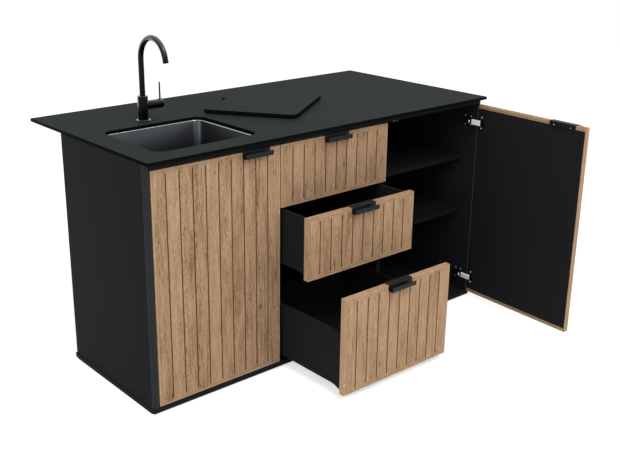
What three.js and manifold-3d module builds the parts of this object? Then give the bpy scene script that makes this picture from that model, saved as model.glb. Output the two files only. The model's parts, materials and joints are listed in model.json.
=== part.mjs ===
// Outdoor kitchen island: sink and tap on the left, three drawers in the middle, open bay on the right.
// X runs along the front from the middle of the cabinet, Y from the faces of the fronts to the back, Z up.
// All lengths are in millimetres, all angles in degrees.

import * as THREE from "three";
import { ConvexGeometry } from "three/addons/geometries/ConvexGeometry.js";
import { mergeVertices } from "three/addons/utils/BufferGeometryUtils.js";
import Module from "manifold-3d";

const wasm = await Module();
wasm.setup();

// Whole island
const islandWidth = 1685;
const islandHeight = 920;
const contactGap = 0.3;
const cutOverrun = 4;

// Worktop
const worktopDepth = 840;
const worktopThickness = 12;
const worktopFrontOverhang = 27;
const worktopCornerRadius = 3;
const worktopEdgeBevel = 1;

// Base slab and foot rails
const slabDepth = 575;
const slabThickness = 18;
const slabOverhang = 2.5;
const slabCornerRadius = 6;
const slabEdgeBevel = 1;
const footHeight = 5;
const footWidth = 55;
const footEndInset = 2;
const footFrontInset = 15;
const innerFootOffset = 367;

// Side panels, partitions and back panel
const sideThickness = 21;
const sideOuterRadius = 12;
const sideInnerRadius = 3;
const partitionThickness = 18;
const partitionSetback = 2;
const backThickness = 12;
const backInset = 0.5;
const wallGroovePitch = 46;
const wallGrooveWidth = 4;
const wallGrooveDepth = 2.5;

// Top frame
const frameHeight = 20;
const frameSideBar = 30;
const frameMiddleBar = 54;
const frameFrontBar = 50;
const frameBackBar = 32.5;
const frameOpeningRadius = 8;

// Door and drawer fronts
const bayCount = 3;
const frontThickness = 23;
const frontGap = 4;
const frontBoards = 10;
const frontEdgeMargin = 3.5;
const frontGrooveWidth = 5;
const frontGrooveDepth = 3.5;
const frontGrooveStop = 17;
const bottomFrontHeight = 374;

// Backing let into the doors
const doorRecessDepth = 5;
const doorRecessEndBorder = 14.5;
const doorRecessSideBorder = 3;
const doorPanelThickness = 4;

// Edge pulls
const pullWidth = 128;
const pullThickness = 2.5;
const pullBendRadius = 0.6;
const pullReach = 17;
const pullLipDrop = 20;
const pullLipReturn = 4;
const pullRearDrop = 22;
const doorPullInset = 44;

// Shelves in the right bay
const shelfThickness = 20;
const shelfSetback = 74;
const shelfDado = 6;
const upperShelfHeight = 629;
const lowerShelfHeight = 382;

// Door hinges
const doorAngle = 87;
const doorAxisOffset = 9.8;
const doorAxisDepth = 10.8;
const hingeEndDistance = 75;
const cupEdgeDistance = 25;
const cupRadius = 17.5;
const cupDepth = 12;
const cupWall = 1.5;
const cupPlateWidth = 24;
const cupPlateHeight = 58;
const cupPlateThickness = 1.5;
const cupPlateRadius = 5;
const cupBlockSize = 8;
const cupBlockRise = 10;
const linkAngle = 89;
const linkAxisInset = 15;
const linkAxisDepth = 32;
const linkLength = 60;
const linkWidth = 6;
const linkHeight = 13;
const prongThickness = 2.2;
const linkEyeRadius = 4;
const hingePinRadius = 1.5;
const hingePinPlay = 0.3;
const cheekThickness = 2;
const cheekPlay = 0.5;
const armStart = 40;
const armEnd = 64;
const armPlateHeight = 46;
const armPlateThickness = 2;
const armPlateRadius = 6;
const armPlateMargin = 3;
const armScrewRadius = 3.4;
const armScrewRise = 1.2;

// Magnetic catches
const catchFromDoorEdge = 67.8333;
const catchWidth = 36;
const catchDepth = 16;
const catchHeight = 14;
const catchRadius = 2;
const catchReach = 0.8;
const catchPoleWidth = 3;
const catchPoleDepth = 1.5;

// Drawer boxes
const drawerTravel = 420;
const middleDrawerOut = 153.5;
const bottomDrawerOut = 353;
const boxSideGap = 5.2;
const boxRise = 19;
const boxTopClearance = 6.5;
const boxWall = 14;
const boxFloorThickness = 10;
const boxFloorRise = 14;
const boxRearClearance = 37;
const boxFrontClearance = 4;
const boxCornerRadius = 6;

// Drawer runners
const runnerWall = 1.6;
const runnerBendRadius = 0.8;
const runnerPlay = 0.4;
const runnerWidth = 32;
const runnerFromBoxSide = 4;
const runnerDepthBelowBox = 8;
const runnerWallRise = 4;
const runnerCrossGap = 1;
const runnerFlangeHeight = 44;
const runnerFrontInset = 2;
const runnerRearClearance = 33;
const slideFrontInset = 15;
const slideRearClearance = 40;
const slideFlange = 3;
const slideWeb = 6;
const slideBarDepth = 10;
const channelFrontInset = 7;
const channelBehindBar = 5;

// Sink
const sinkFromEnd = 307.5;
const sinkFromFront = 256;
const sinkCutoutLength = 404;
const sinkCutoutWidth = 350;
const sinkCutoutRadius = 40;
const sinkLip = 3;
const sinkFlange = 22;
const sinkSheet = 1.5;
const sinkDepth = 190;
const sinkDraft = 6;
const sinkFloorRadius = 18;
const drainOffset = 70;

// Sink waste
const drainHoleRadius = 45;
const drainFlangeRadius = 56;
const drainFlangeThickness = 2;
const drainNeckRadius = 43;
const drainCupWall = 2;
const drainCupDepth = 42;
const drainNutRadius = 54;
const drainNutHeight = 8;
const outletRadius = 20;
const outletWall = 2;
const outletLength = 40;
const strainerRimRadius = 47;
const strainerRimThickness = 1.5;
const strainerPlay = 2;
const strainerWall = 1.5;
const strainerDepth = 26;
const strainerHoles = 8;
const strainerHoleRadius = 4;
const strainerHoleCircle = 24;
const strainerStemRadius = 3;
const strainerKnobRadius = 8;
const strainerKnobHeight = 7;
const trapCollarRadius = 27;
const trapCollarHeight = 22;
const trapSocketDepth = 26;
const trapRadius = 32;
const trapHeight = 95;
const trapShoulder = 10;
const trapPipeRadius = 16;
const trapPipeDrop = 22;
const trapRosetteRadius = 30;
const trapRosetteThickness = 4;
const trapPipePlay = 1.5;

// Tap
const tapFromSinkCentre = 7;
const tapBehindCutout = 72.6;
const tapFlangeRadius = 28;
const tapFlangeHeight = 6;
const tapBodyRadius = 20;
const tapBodyHeight = 95;
const tapEdgeRadius = 3;
const tapShankRadius = 16.5;
const tapHoleRadius = 17.5;
const tapShankLength = 45;
const tapNutRadius = 24;
const tapNutHeight = 12;
const tapNutSides = 6;
const cartridgeRadius = 17;
const cartridgeHeight = 57;
const cartridgeReach = 68;
const leverCapLength = 20;
const leverCapEdge = 2;
const leverRadius = 3;
const leverLength = 62;
const leverTipRadius = 2.2;
const spoutRadius = 11;
const spoutSocketDepth = 40;
const spoutStraightHeight = 245;
const spoutBendRadius = 73.5;
const spoutTip = 5;
const spoutBore = 8.5;
const spoutBoreDepth = 14;
const spoutPlay = 0.4;

// Loose sink cover
const coverLength = 425;
const coverWidth = 380;
const coverThickness = 12;
const coverCornerRadius = 30;
const coverNotchRadius = 22;
const coverEdgeBevel = 1;
const coverCentreX = 6;
const coverCentreY = 427;
const coverAngle = 34.5;

// Facets of round surfaces
const roundSides = 24;
const pinSides = 12;
const cornerSteps = 5;
const bendSteps = 3;
const spoutBendSteps = 16;
const spoutSides = 16;
const weldTolerance = 1e-4;

// Levels and faces worked out from the driving dimensions
const halfWidth = islandWidth / 2;
const worktopUnderside = islandHeight - worktopThickness;
const slabTop = footHeight + slabThickness;
const sideInnerX = halfWidth - sideThickness;
const cabinetBack = slabDepth - slabOverhang;
const frameUnderside = worktopUnderside - frameHeight;
const frontWidth = (2 * sideInnerX - (bayCount + 1) * frontGap) / bayCount;
const frontBottom = slabTop + frontGap;
const frontTop = frameUnderside - frontGap;
const partitionX = (frontWidth + frontGap) / 2;
const partitionFront = frontThickness + partitionSetback;
const backFaceY = cabinetBack - backInset - backThickness;
const doorOuterX = sideInnerX - frontGap;
const doorPanelFace = frontThickness - doorRecessDepth + contactGap + doorPanelThickness;
const sinkX = sinkFromEnd - halfWidth;
const sinkTop = worktopUnderside - contactGap;
const sinkFloor = sinkTop - sinkDepth;
const drainY = sinkFromFront + drainOffset;
const outletBottom = sinkFloor - drainCupDepth - outletLength;
const trapTop = outletBottom + trapSocketDepth - contactGap;
const trapPipeZ = trapTop - trapCollarHeight - trapShoulder - trapPipeDrop;
const tapX = sinkX + tapFromSinkCentre;
const tapY = sinkFromFront + sinkCutoutWidth / 2 + tapBehindCutout;
const tapBase = islandHeight + contactGap;

// Materials
const finish = (color, roughness, metalness) => () =>
  new THREE.MeshStandardMaterial({ color, roughness, metalness });
const blackPanel = finish(0x2a2b2d, 0.6, 0);
const stoneWorktop = finish(0x464b49, 0.55, 0);
const timber = finish(0xa5886a, 0.7, 0);
const blackMetal = finish(0x1b1c1e, 0.45, 0.6);
const brushedSteel = finish(0x9a9da0, 0.35, 1);
const sinkSteel = finish(0x3e4046, 0.35, 0.9);
const brightNickel = finish(0xe6e6e6, 0.3, 0.8);
const blackPlastic = finish(0x1b1c1e, 0.6, 0);

// Welds a geometry down to its positions and drops the triangles that shrink to a line
function welded(geometry) {
  const bare = geometry.clone();
  bare.deleteAttribute("normal");
  bare.deleteAttribute("uv");
  const merged = mergeVertices(bare, weldTolerance);
  const corners = merged.index.array;
  const kept = [];
  for (let i = 0; i < corners.length; i += 3) {
    const [a, b, c] = corners.slice(i, i + 3);
    if (a !== b && b !== c && c !== a) kept.push(a, b, c);
  }
  merged.setIndex(kept);
  return merged;
}

function solidOf(geometry) {
  const merged = welded(geometry);
  const vertProperties = merged.attributes.position.array;
  const triVerts = new Uint32Array(merged.index.array);
  return new wasm.Manifold(new wasm.Mesh({ numProp: 3, vertProperties, triVerts }));
}

function geometryOf(solid) {
  const mesh = solid.getMesh();
  const geometry = new THREE.BufferGeometry();
  geometry.setAttribute("position", new THREE.BufferAttribute(mesh.vertProperties, mesh.numProp));
  geometry.setIndex(new THREE.BufferAttribute(mesh.triVerts, 1));
  return geometry;
}

function cut(body, ...tools) {
  const solid = tools.reduce((rest, tool) => rest.subtract(solidOf(tool)), solidOf(body));
  return geometryOf(solid);
}

function join(body, ...parts) {
  const solid = parts.reduce((whole, part) => whole.add(solidOf(part)), solidOf(body));
  return geometryOf(solid);
}

// Left-hand copy of a right-hand piece, with its triangles turned back the right way round
function mirrored(geometry) {
  const copy = welded(geometry).scale(-1, 1, 1);
  const corners = copy.index;
  for (let i = 0; i < corners.count; i += 3) {
    const first = corners.getX(i);
    corners.setX(i, corners.getX(i + 2));
    corners.setX(i + 2, first);
  }
  return copy;
}

// Points of a closed outline from its corners, each given as x, y and the radius that rounds it
function roundedOutline(corners, steps = cornerSteps) {
  return corners.flatMap(([x, y, radius = 0], i) => {
    const corner = new THREE.Vector2(x, y);
    if (radius === 0) return [corner];
    const [beforeX, beforeY] = corners.at(i - 1);
    const [afterX, afterY] = corners[(i + 1) % corners.length];
    const back = new THREE.Vector2(beforeX - x, beforeY - y).normalize();
    const ahead = new THREE.Vector2(afterX - x, afterY - y).normalize();
    const half = Math.acos(back.dot(ahead)) / 2;
    const bisector = back.clone().add(ahead).normalize();
    const centre = corner.clone().addScaledVector(bisector, radius / Math.sin(half));
    const sweep = (Math.PI - 2 * half) * Math.sign(back.cross(ahead)) * -1;
    const start = corner.clone().addScaledVector(back, radius / Math.tan(half));
    return Array.from({ length: steps + 1 }, (_, step) =>
      start.clone().rotateAround(centre, (sweep * step) / steps));
  });
}

const rectangle = (x0, x1, y0, y1, radius = 0, steps = cornerSteps) =>
  roundedOutline([[x0, y0, radius], [x1, y0, radius], [x1, y1, radius], [x0, y1, radius]], steps);

const circle = (radius, x = 0, y = 0, sides = roundSides) =>
  Array.from({ length: sides }, (_, i) => {
    const angle = (2 * Math.PI * i) / sides;
    return new THREE.Vector2(x + radius * Math.cos(angle), y + radius * Math.sin(angle));
  });

// Outline of a folded strip of even thickness that follows a path of straight runs
function foldedStrip(path, thickness, insideRadius) {
  const outsideRadius = insideRadius + thickness;
  const left = [];
  const right = [];
  path.forEach(([x, y], i) => {
    const run = (from, to) => new THREE.Vector2(to[0] - from[0], to[1] - from[1]).normalize();
    const behind = i > 0 ? run(path[i - 1], path[i]) : run(path[0], path[1]);
    const ahead = i + 1 < path.length ? run(path[i], path[i + 1]) : behind;
    const normal = new THREE.Vector2(-behind.y - ahead.y, behind.x + ahead.x).normalize();
    const reach = thickness / 2 / (normal.y * ahead.x - normal.x * ahead.y);
    const turn = Math.sign(Math.round(behind.cross(ahead) / weldTolerance));
    const leftRadius = [outsideRadius, 0, insideRadius][turn + 1];
    const rightRadius = [insideRadius, 0, outsideRadius][turn + 1];
    left.push([x + normal.x * reach, y + normal.y * reach, leftRadius]);
    right.unshift([x - normal.x * reach, y - normal.y * reach, rightRadius]);
  });
  return roundedOutline([...left, ...right], bendSteps);
}

function shapeOf(outline, holes = []) {
  const shape = new THREE.Shape(outline);
  shape.holes = holes.map((hole) => new THREE.Path(hole));
  return shape;
}

// Extrusions of an outline: drawn in X and Y and raised along Z, or drawn upright and run along X or Y
function alongZ(outline, z0, z1, holes = []) {
  const options = { depth: z1 - z0, bevelEnabled: false };
  return new THREE.ExtrudeGeometry(shapeOf(outline, holes), options).translate(0, 0, z0);
}

function alongX(outline, x0, x1, holes = []) {
  const [x, y, z] = [0, 1, 2].map((axis) => new THREE.Vector3().setComponent(axis, 1));
  return alongZ(outline, x0, x1, holes).applyMatrix4(new THREE.Matrix4().makeBasis(y, z, x));
}

function alongY(outline, y0, y1, holes = []) {
  const [x, y, z] = [0, 1, 2].map((axis) => new THREE.Vector3().setComponent(axis, 1));
  const upright = new THREE.Matrix4().makeBasis(x, z, y.negate());
  return alongZ(outline, -y1, -y0, holes).applyMatrix4(upright);
}

// Board with small bevels round its edges and round its cut-outs
function bevelledBoard(outline, z0, z1, bevel, holes = []) {
  const options = {
    depth: z1 - z0 - 2 * bevel,
    bevelThickness: bevel,
    bevelSize: bevel,
    bevelOffset: -bevel,
    bevelSegments: 1,
  };
  return new THREE.ExtrudeGeometry(shapeOf(outline, holes), options).translate(0, 0, z0 + bevel);
}

const box = (x0, x1, y0, y1, z0, z1) => alongZ(rectangle(x0, x1, y0, y1), z0, z1);

// Solid of revolution about Z from radius and height pairs that run upwards
function revolved(profile, sides = roundSides) {
  const points = profile.map(([radius, height]) => new THREE.Vector2(radius, height));
  return new THREE.LatheGeometry(points, sides).rotateX(Math.PI / 2);
}

// Skin over a row of equal rings, with both ends closed
function lofted(rings) {
  const count = rings[0].length;
  const index = [];
  for (let start = 0; start < (rings.length - 1) * count; start += count) {
    for (let i = 0; i < count; i += 1) {
      const next = (i + 1) % count;
      index.push(start + i, start + next, start + count + next);
      index.push(start + i, start + count + next, start + count + i);
    }
  }
  const last = (rings.length - 1) * count;
  for (let i = 1; i + 1 < count; i += 1) {
    index.push(0, i + 1, i);
    index.push(last, last + i, last + i + 1);
  }
  const geometry = new THREE.BufferGeometry().setFromPoints(rings.flat());
  geometry.setIndex(index);
  return geometry;
}

// Notches of a V-grooved wall face along one edge of an outline, as offsets along it and into it
function wallGrooves(start, end) {
  const count = Math.floor((end - start - wallGrooveWidth) / wallGroovePitch);
  const first = (start + end - (count - 1) * wallGroovePitch) / 2;
  return Array.from({ length: count }, (_, i) => first + i * wallGroovePitch).flatMap((middle) => [
    [middle - wallGrooveWidth / 2, 0],
    [middle, wallGrooveDepth],
    [middle + wallGrooveWidth / 2, 0],
  ]);
}

// V groove that a cutter leaves when it is lifted out at both ends, in a face that looks to -Y
function frontGroove(x, z0, z1) {
  const slopeShare = frontGrooveWidth / 2 / frontGrooveDepth;
  const halfMouth = slopeShare * (frontGrooveDepth + cutOverrun);
  const endReach = slopeShare * cutOverrun;
  const endRise = frontGrooveWidth / 2;
  return new ConvexGeometry([
    new THREE.Vector3(x, frontGrooveDepth, z0 + endRise),
    new THREE.Vector3(x, frontGrooveDepth, z1 - endRise),
    new THREE.Vector3(x - halfMouth, -cutOverrun, z0 - endReach),
    new THREE.Vector3(x + halfMouth, -cutOverrun, z0 - endReach),
    new THREE.Vector3(x - halfMouth, -cutOverrun, z1 + endReach),
    new THREE.Vector3(x + halfMouth, -cutOverrun, z1 + endReach),
  ]);
}

const island = new THREE.Group();

function place(name, geometry, material, parent = island) {
  const mesh = new THREE.Mesh(geometry, material());
  mesh.name = name;
  parent.add(mesh);
  return mesh;
}

// Worktop with the sink cut-out and the tap hole
const sinkCutout = rectangle(
  sinkX - sinkCutoutLength / 2,
  sinkX + sinkCutoutLength / 2,
  sinkFromFront - sinkCutoutWidth / 2,
  sinkFromFront + sinkCutoutWidth / 2,
  sinkCutoutRadius,
);
const worktopOutline = rectangle(
  -halfWidth,
  halfWidth,
  -worktopFrontOverhang,
  worktopDepth - worktopFrontOverhang,
  worktopCornerRadius,
  bendSteps,
);
const worktopHoles = [sinkCutout, circle(tapHoleRadius, tapX, tapY)];
place(
  "worktop",
  bevelledBoard(worktopOutline, worktopUnderside, islandHeight, worktopEdgeBevel, worktopHoles),
  stoneWorktop,
);

// Base slab on four foot rails that run from front to back
const slabHalfWidth = halfWidth + slabOverhang;
const slabOutline = rectangle(-slabHalfWidth, slabHalfWidth, 0, slabDepth, slabCornerRadius, bendSteps);
place("base_slab", bevelledBoard(slabOutline, footHeight, slabTop, slabEdgeBevel), blackPanel);
const outerFootX = slabHalfWidth - footEndInset - footWidth / 2;
[-outerFootX, -innerFootOffset, innerFootOffset, outerFootX].forEach((x, i) => {
  const rail = rectangle(x - footWidth / 2, x + footWidth / 2, footFrontInset, slabDepth - footFrontInset);
  place(`foot_rail_${i + 1}`, alongZ(rail, 0, footHeight - contactGap), blackPlastic);
});

// Room for a shelf end in the wall on either side of the right bay
function shelfHousings(fromX, toX) {
  return [lowerShelfHeight, upperShelfHeight].map((height) => box(
    fromX,
    toX,
    shelfSetback - contactGap,
    cabinetBack + cutOverrun,
    slabTop + height - shelfThickness - contactGap,
    slabTop + height + contactGap,
  ));
}

// Side panels with boarded inner faces, drawn for the right-hand side
const wallBottom = slabTop + contactGap;
const sideOutline = roundedOutline([
  [halfWidth, 0, sideOuterRadius],
  [halfWidth, cabinetBack, sideOuterRadius],
  [sideInnerX, cabinetBack],
  ...wallGrooves(partitionFront, backFaceY).reverse().map(([y, depth]) => [sideInnerX + depth, y]),
  [sideInnerX, 0, sideInnerRadius],
]);
const sidePanel = alongZ(sideOutline, wallBottom, worktopUnderside - contactGap);
const sideHousings = shelfHousings(sideInnerX - cutOverrun, sideInnerX + shelfDado);
place("left_side", mirrored(sidePanel), blackPanel);
place("right_side", cut(sidePanel, ...sideHousings), blackPanel);

// Partitions between the bays
const wallTop = frameUnderside - contactGap;
const partitionHalf = partitionThickness / 2;
const partitionOutline = rectangle(
  partitionX - partitionHalf,
  partitionX + partitionHalf,
  partitionFront,
  backFaceY - contactGap,
);
const partition = alongZ(partitionOutline, wallBottom, wallTop);
const partitionHousings = shelfHousings(
  partitionX + partitionHalf - shelfDado,
  partitionX + partitionHalf + cutOverrun,
);
place("left_partition", mirrored(partition), blackPanel);
place("right_partition", cut(partition, ...partitionHousings), blackPanel);

// Back panel in vertical boards, with the way out for the waste pipe
const backEndX = sideInnerX - contactGap;
const backOutline = [
  [backEndX, backFaceY],
  [backEndX, backFaceY + backThickness],
  [-backEndX, backFaceY + backThickness],
  [-backEndX, backFaceY],
  ...wallGrooves(-backEndX, backEndX).map(([x, depth]) => [x, backFaceY + depth]),
];
const pipeHole = alongY(
  circle(trapPipeRadius + trapPipePlay, sinkX, trapPipeZ),
  backFaceY - cutOverrun,
  cabinetBack + cutOverrun,
);
place("back_panel", cut(alongZ(roundedOutline(backOutline), wallBottom, wallTop), pipeHole), blackPanel);

// Top frame with an opening over each bay
const frameEndX = sideInnerX - contactGap;
const frameOpenings = [
  [-frameEndX + frameSideBar, -partitionX - frameMiddleBar / 2],
  [-partitionX + frameMiddleBar / 2, partitionX - frameMiddleBar / 2],
  [partitionX + frameMiddleBar / 2, frameEndX - frameSideBar],
].map(([x0, x1]) => rectangle(
  x0,
  x1,
  frameFrontBar,
  cabinetBack - frameBackBar,
  frameOpeningRadius,
  bendSteps,
));
const frameOutline = rectangle(-frameEndX, frameEndX, 0, cabinetBack);
const topFrame = alongZ(frameOutline, frameUnderside, worktopUnderside - contactGap, frameOpenings);
place("top_frame", topFrame, blackPanel);

// Shelves housed in the right side panel and the right partition
function shelf(name, height) {
  const outline = rectangle(
    partitionX + partitionHalf - shelfDado + contactGap,
    sideInnerX + shelfDado - contactGap,
    shelfSetback,
    backFaceY - contactGap,
  );
  const top = slabTop + height;
  place(name, alongZ(outline, top - shelfThickness, top), blackPanel);
}
shelf("upper_shelf", upperShelfHeight);
shelf("lower_shelf", lowerShelfHeight);

// Timber front in boards that V grooves mark, with the grooves stopped short of both ends
function boardedFront(x0, x1, z0, z1) {
  const pitch = (x1 - x0 - 2 * frontEdgeMargin) / frontBoards;
  const grooves = Array.from({ length: frontBoards - 1 }, (_, i) => frontGroove(
    x0 + frontEdgeMargin + (i + 1) * pitch,
    z0 + frontGrooveStop,
    z1 - frontGrooveStop,
  ));
  return cut(box(x0, x1, 0, frontThickness, z0, z1), ...grooves);
}

// Edge pull: one folded strip that hooks over the top edge of a front
function edgePull(x, z) {
  const lipY = pullThickness / 2 - pullReach;
  const rearY = frontThickness + contactGap + pullThickness / 2;
  const topZ = z + contactGap + pullThickness / 2;
  const path = [
    [rearY, z - pullRearDrop],
    [rearY, topZ],
    [lipY, topZ],
    [lipY, topZ + pullThickness / 2 - pullLipDrop],
    [lipY + pullLipReturn, topZ + pullThickness / 2 - pullLipDrop],
  ];
  const strip = foldedStrip(path, pullThickness, pullBendRadius);
  return alongX(strip, x - pullWidth / 2, x + pullWidth / 2);
}

// Right-hand door, drawn closed
const hingeLevels = { upper: frontTop - hingeEndDistance, lower: frontBottom + hingeEndDistance };
const cupX = doorOuterX - cupEdgeDistance;
const doorInnerX = doorOuterX - frontWidth;
const recessFloor = frontThickness - doorRecessDepth;
const recess = box(
  doorInnerX + doorRecessSideBorder,
  doorOuterX - doorRecessSideBorder,
  recessFloor,
  frontThickness + cutOverrun,
  frontBottom + doorRecessEndBorder,
  frontTop - doorRecessEndBorder,
);
const cupBores = Object.values(hingeLevels).map((z) => alongY(
  circle(cupRadius + contactGap, cupX, z),
  doorPanelFace - cupDepth - contactGap,
  frontThickness + cutOverrun,
));
const doorFront = cut(boardedFront(doorInnerX, doorOuterX, frontBottom, frontTop), recess, ...cupBores);
const doorPanel = cut(
  box(
    doorInnerX + doorRecessSideBorder + contactGap,
    doorOuterX - doorRecessSideBorder - contactGap,
    recessFloor + contactGap,
    doorPanelFace,
    frontBottom + doorRecessEndBorder + contactGap,
    frontTop - doorRecessEndBorder - contactGap,
  ),
  ...cupBores,
);
const doorPull = edgePull(doorInnerX + doorPullInset + pullWidth / 2, frontTop);

// Hinge cup: pressed bowl under a rounded plate, with the block that the link straddles
function hingeCup(z) {
  const plateBack = doorPanelFace + contactGap;
  const plateFace = plateBack + cupPlateThickness;
  const bowlBottom = doorPanelFace - cupDepth;
  const halfBlock = cupBlockSize / 2;
  const plate = rectangle(
    cupX - cupPlateWidth / 2,
    cupX + cupPlateWidth / 2,
    z - cupPlateHeight / 2,
    z + cupPlateHeight / 2,
    cupPlateRadius,
    bendSteps,
  );
  const block = rectangle(cupX - halfBlock, cupX + halfBlock, z - halfBlock, z + halfBlock);
  const bowl = alongY(circle(cupRadius, cupX, z), bowlBottom, plateFace);
  const hollow = alongY(circle(cupRadius - cupWall, cupX, z), bowlBottom + cupWall, plateFace + cutOverrun);
  const rim = join(alongY(plate, plateBack, plateFace), bowl);
  return join(cut(rim, hollow), alongY(block, bowlBottom + cupWall / 2, plateFace + cupBlockRise));
}

// Hinge link: a fork on the arm's pin, drawn from the pin towards -X
const linkX = sideInnerX - linkAxisInset;
function hingeLink(z) {
  const half = linkHeight / 2;
  const prong = [
    [linkX, linkAxisDepth - linkWidth / 2],
    [linkX, linkAxisDepth + linkWidth / 2],
    [linkX - linkLength, linkAxisDepth + linkWidth / 2, linkWidth / 3],
    [linkX - linkLength, linkAxisDepth - linkWidth / 2, linkWidth / 3],
  ];
  const outline = roundedOutline(prong, bendSteps);
  const fork = join(
    alongZ(circle(linkEyeRadius, linkX, linkAxisDepth, pinSides), z - half, z + half),
    alongZ(outline, z - half, z - half + prongThickness),
    alongZ(outline, z + half - prongThickness, z + half),
  );
  const eye = circle(hingePinRadius + hingePinPlay, linkX, linkAxisDepth, pinSides);
  return cut(fork, alongZ(eye, z - half - cutOverrun, z + half + cutOverrun));
}

// Hinge arm: wall plate, channel with its two cheeks, and the pin that the link turns on
function hingeArm(z) {
  const wallX = sideInnerX - contactGap;
  const innerHalf = linkHeight / 2 + cheekPlay;
  const outerHalf = innerHalf + cheekThickness;
  const webX = linkX - linkWidth / 3;
  const middleY = (armStart + armEnd) / 2;
  const halfPlate = armPlateHeight / 2;
  const plate = rectangle(
    armStart - armPlateMargin,
    armEnd + armPlateMargin,
    z - halfPlate,
    z + halfPlate,
    armPlateRadius,
    bendSteps,
  );
  const cheek = roundedOutline([
    [wallX - armPlateThickness / 2, armStart],
    [wallX - armPlateThickness / 2, armEnd],
    [webX, armEnd],
    [webX, armStart - cheekThickness],
    [linkX - linkEyeRadius, linkAxisDepth - linkEyeRadius, linkEyeRadius / 2],
    [linkX + linkEyeRadius, linkAxisDepth - linkEyeRadius, linkEyeRadius / 2],
  ], bendSteps);
  const screws = [-1, 1].map((side) => alongX(
    circle(armScrewRadius, middleY, z + side * (halfPlate + outerHalf) / 2, pinSides),
    wallX - armPlateThickness - armScrewRise,
    wallX - armPlateThickness / 2,
  ));
  return join(
    alongX(plate, wallX - armPlateThickness, wallX),
    alongZ(cheek, z - outerHalf, z - innerHalf),
    alongZ(cheek, z + innerHalf, z + outerHalf),
    box(webX, webX + cheekThickness, armStart, armEnd, z - outerHalf, z + outerHalf),
    alongZ(circle(hingePinRadius, linkX, linkAxisDepth, pinSides), z - outerHalf, z + outerHalf),
    ...screws,
  );
}

// Group that turns its pieces about a vertical axis without moving them at angle zero
function turned(x, y, degrees) {
  const pivot = new THREE.Group();
  pivot.position.set(x, y, 0);
  pivot.rotation.z = THREE.MathUtils.degToRad(degrees);
  const content = new THREE.Group();
  content.position.set(-x, -y, 0);
  pivot.add(content);
  island.add(pivot);
  return content;
}

// Both doors: the right one stands open, the left one is its closed mirror image
function hangDoor(side, hand, openShare) {
  const door = turned(
    side * (sideInnerX + doorAxisOffset),
    doorAxisDepth,
    side * doorAngle * openShare,
  );
  const links = turned(side * linkX, linkAxisDepth, side * linkAngle * openShare);
  place(`${side < 0 ? "left" : "right"}_door_front`, hand(doorFront), timber, door);
  place(`${side < 0 ? "left" : "right"}_door_panel`, hand(doorPanel), blackPanel, door);
  place(`${side < 0 ? "left" : "right"}_door_handle`, hand(doorPull), blackMetal, door);
  Object.entries(hingeLevels).forEach(([level, z]) => {
    const hinge = `${side < 0 ? "left" : "right"}_${level}_hinge`;
    place(`${hinge}_cup`, hand(hingeCup(z)), brightNickel, door);
    place(`${hinge}_link`, hand(hingeLink(z)), brightNickel, links);
    place(`${hinge}_arm`, hand(hingeArm(z)), brightNickel);
  });
}
hangDoor(1, (geometry) => geometry, 1);
hangDoor(-1, mirrored, 0);

// Magnetic catches under the top frame, their pole pieces facing the rear leg of the door pulls
const pullRearFace = frontThickness + contactGap + pullThickness;
const catchFront = pullRearFace + catchReach;
const catchX = doorInnerX + catchFromDoorEdge;
const catchOutline = rectangle(
  catchX - catchWidth / 2,
  catchX + catchWidth / 2,
  catchFront + catchPoleDepth,
  catchFront + catchDepth,
  catchRadius,
  bendSteps,
);
const catchTop = frameUnderside - contactGap;
const catchPoles = [-1, 1].map((side) => box(
  catchX + side * catchWidth / 4 - catchPoleWidth / 2,
  catchX + side * catchWidth / 4 + catchPoleWidth / 2,
  catchFront,
  catchFront + catchDepth / 2,
  catchTop - catchHeight * 3 / 4,
  catchTop - catchHeight / 4,
));
const doorCatch = join(alongZ(catchOutline, catchTop - catchHeight, catchTop), ...catchPoles);
place("left_door_catch", mirrored(doorCatch), brushedSteel);
place("right_door_catch", doorCatch, brushedSteel);

// Drawers from the top down, each with the height of its front's edges and how far it stands out
const equalFrontHeight = (frontTop - frontBottom - bottomFrontHeight - 2 * frontGap) / 2;
const boxHeight = equalFrontHeight - boxRise - boxTopClearance;
const bottomFrontTop = frontBottom + bottomFrontHeight;
const middleFrontBottom = bottomFrontTop + frontGap;
const topFrontBottom = middleFrontBottom + equalFrontHeight + frontGap;
const drawers = [
  { name: "top_drawer", z0: topFrontBottom, z1: frontTop, out: 0 },
  { name: "middle_drawer", z0: middleFrontBottom, z1: middleFrontBottom + equalFrontHeight,
    out: middleDrawerOut },
  { name: "bottom_drawer", z0: frontBottom, z1: bottomFrontTop, out: bottomDrawerOut },
];

const bayHalfWidth = partitionX - partitionHalf;
const boxHalfWidth = bayHalfWidth - boxSideGap;
const boxFrontY = frontThickness + contactGap;
const boxRearY = backFaceY - boxRearClearance;
const runnerOuterX = boxHalfWidth - boxWall - runnerFromBoxSide;
const runnerInnerX = runnerOuterX - runnerWidth;
const slideRearY = backFaceY - slideRearClearance;

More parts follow.
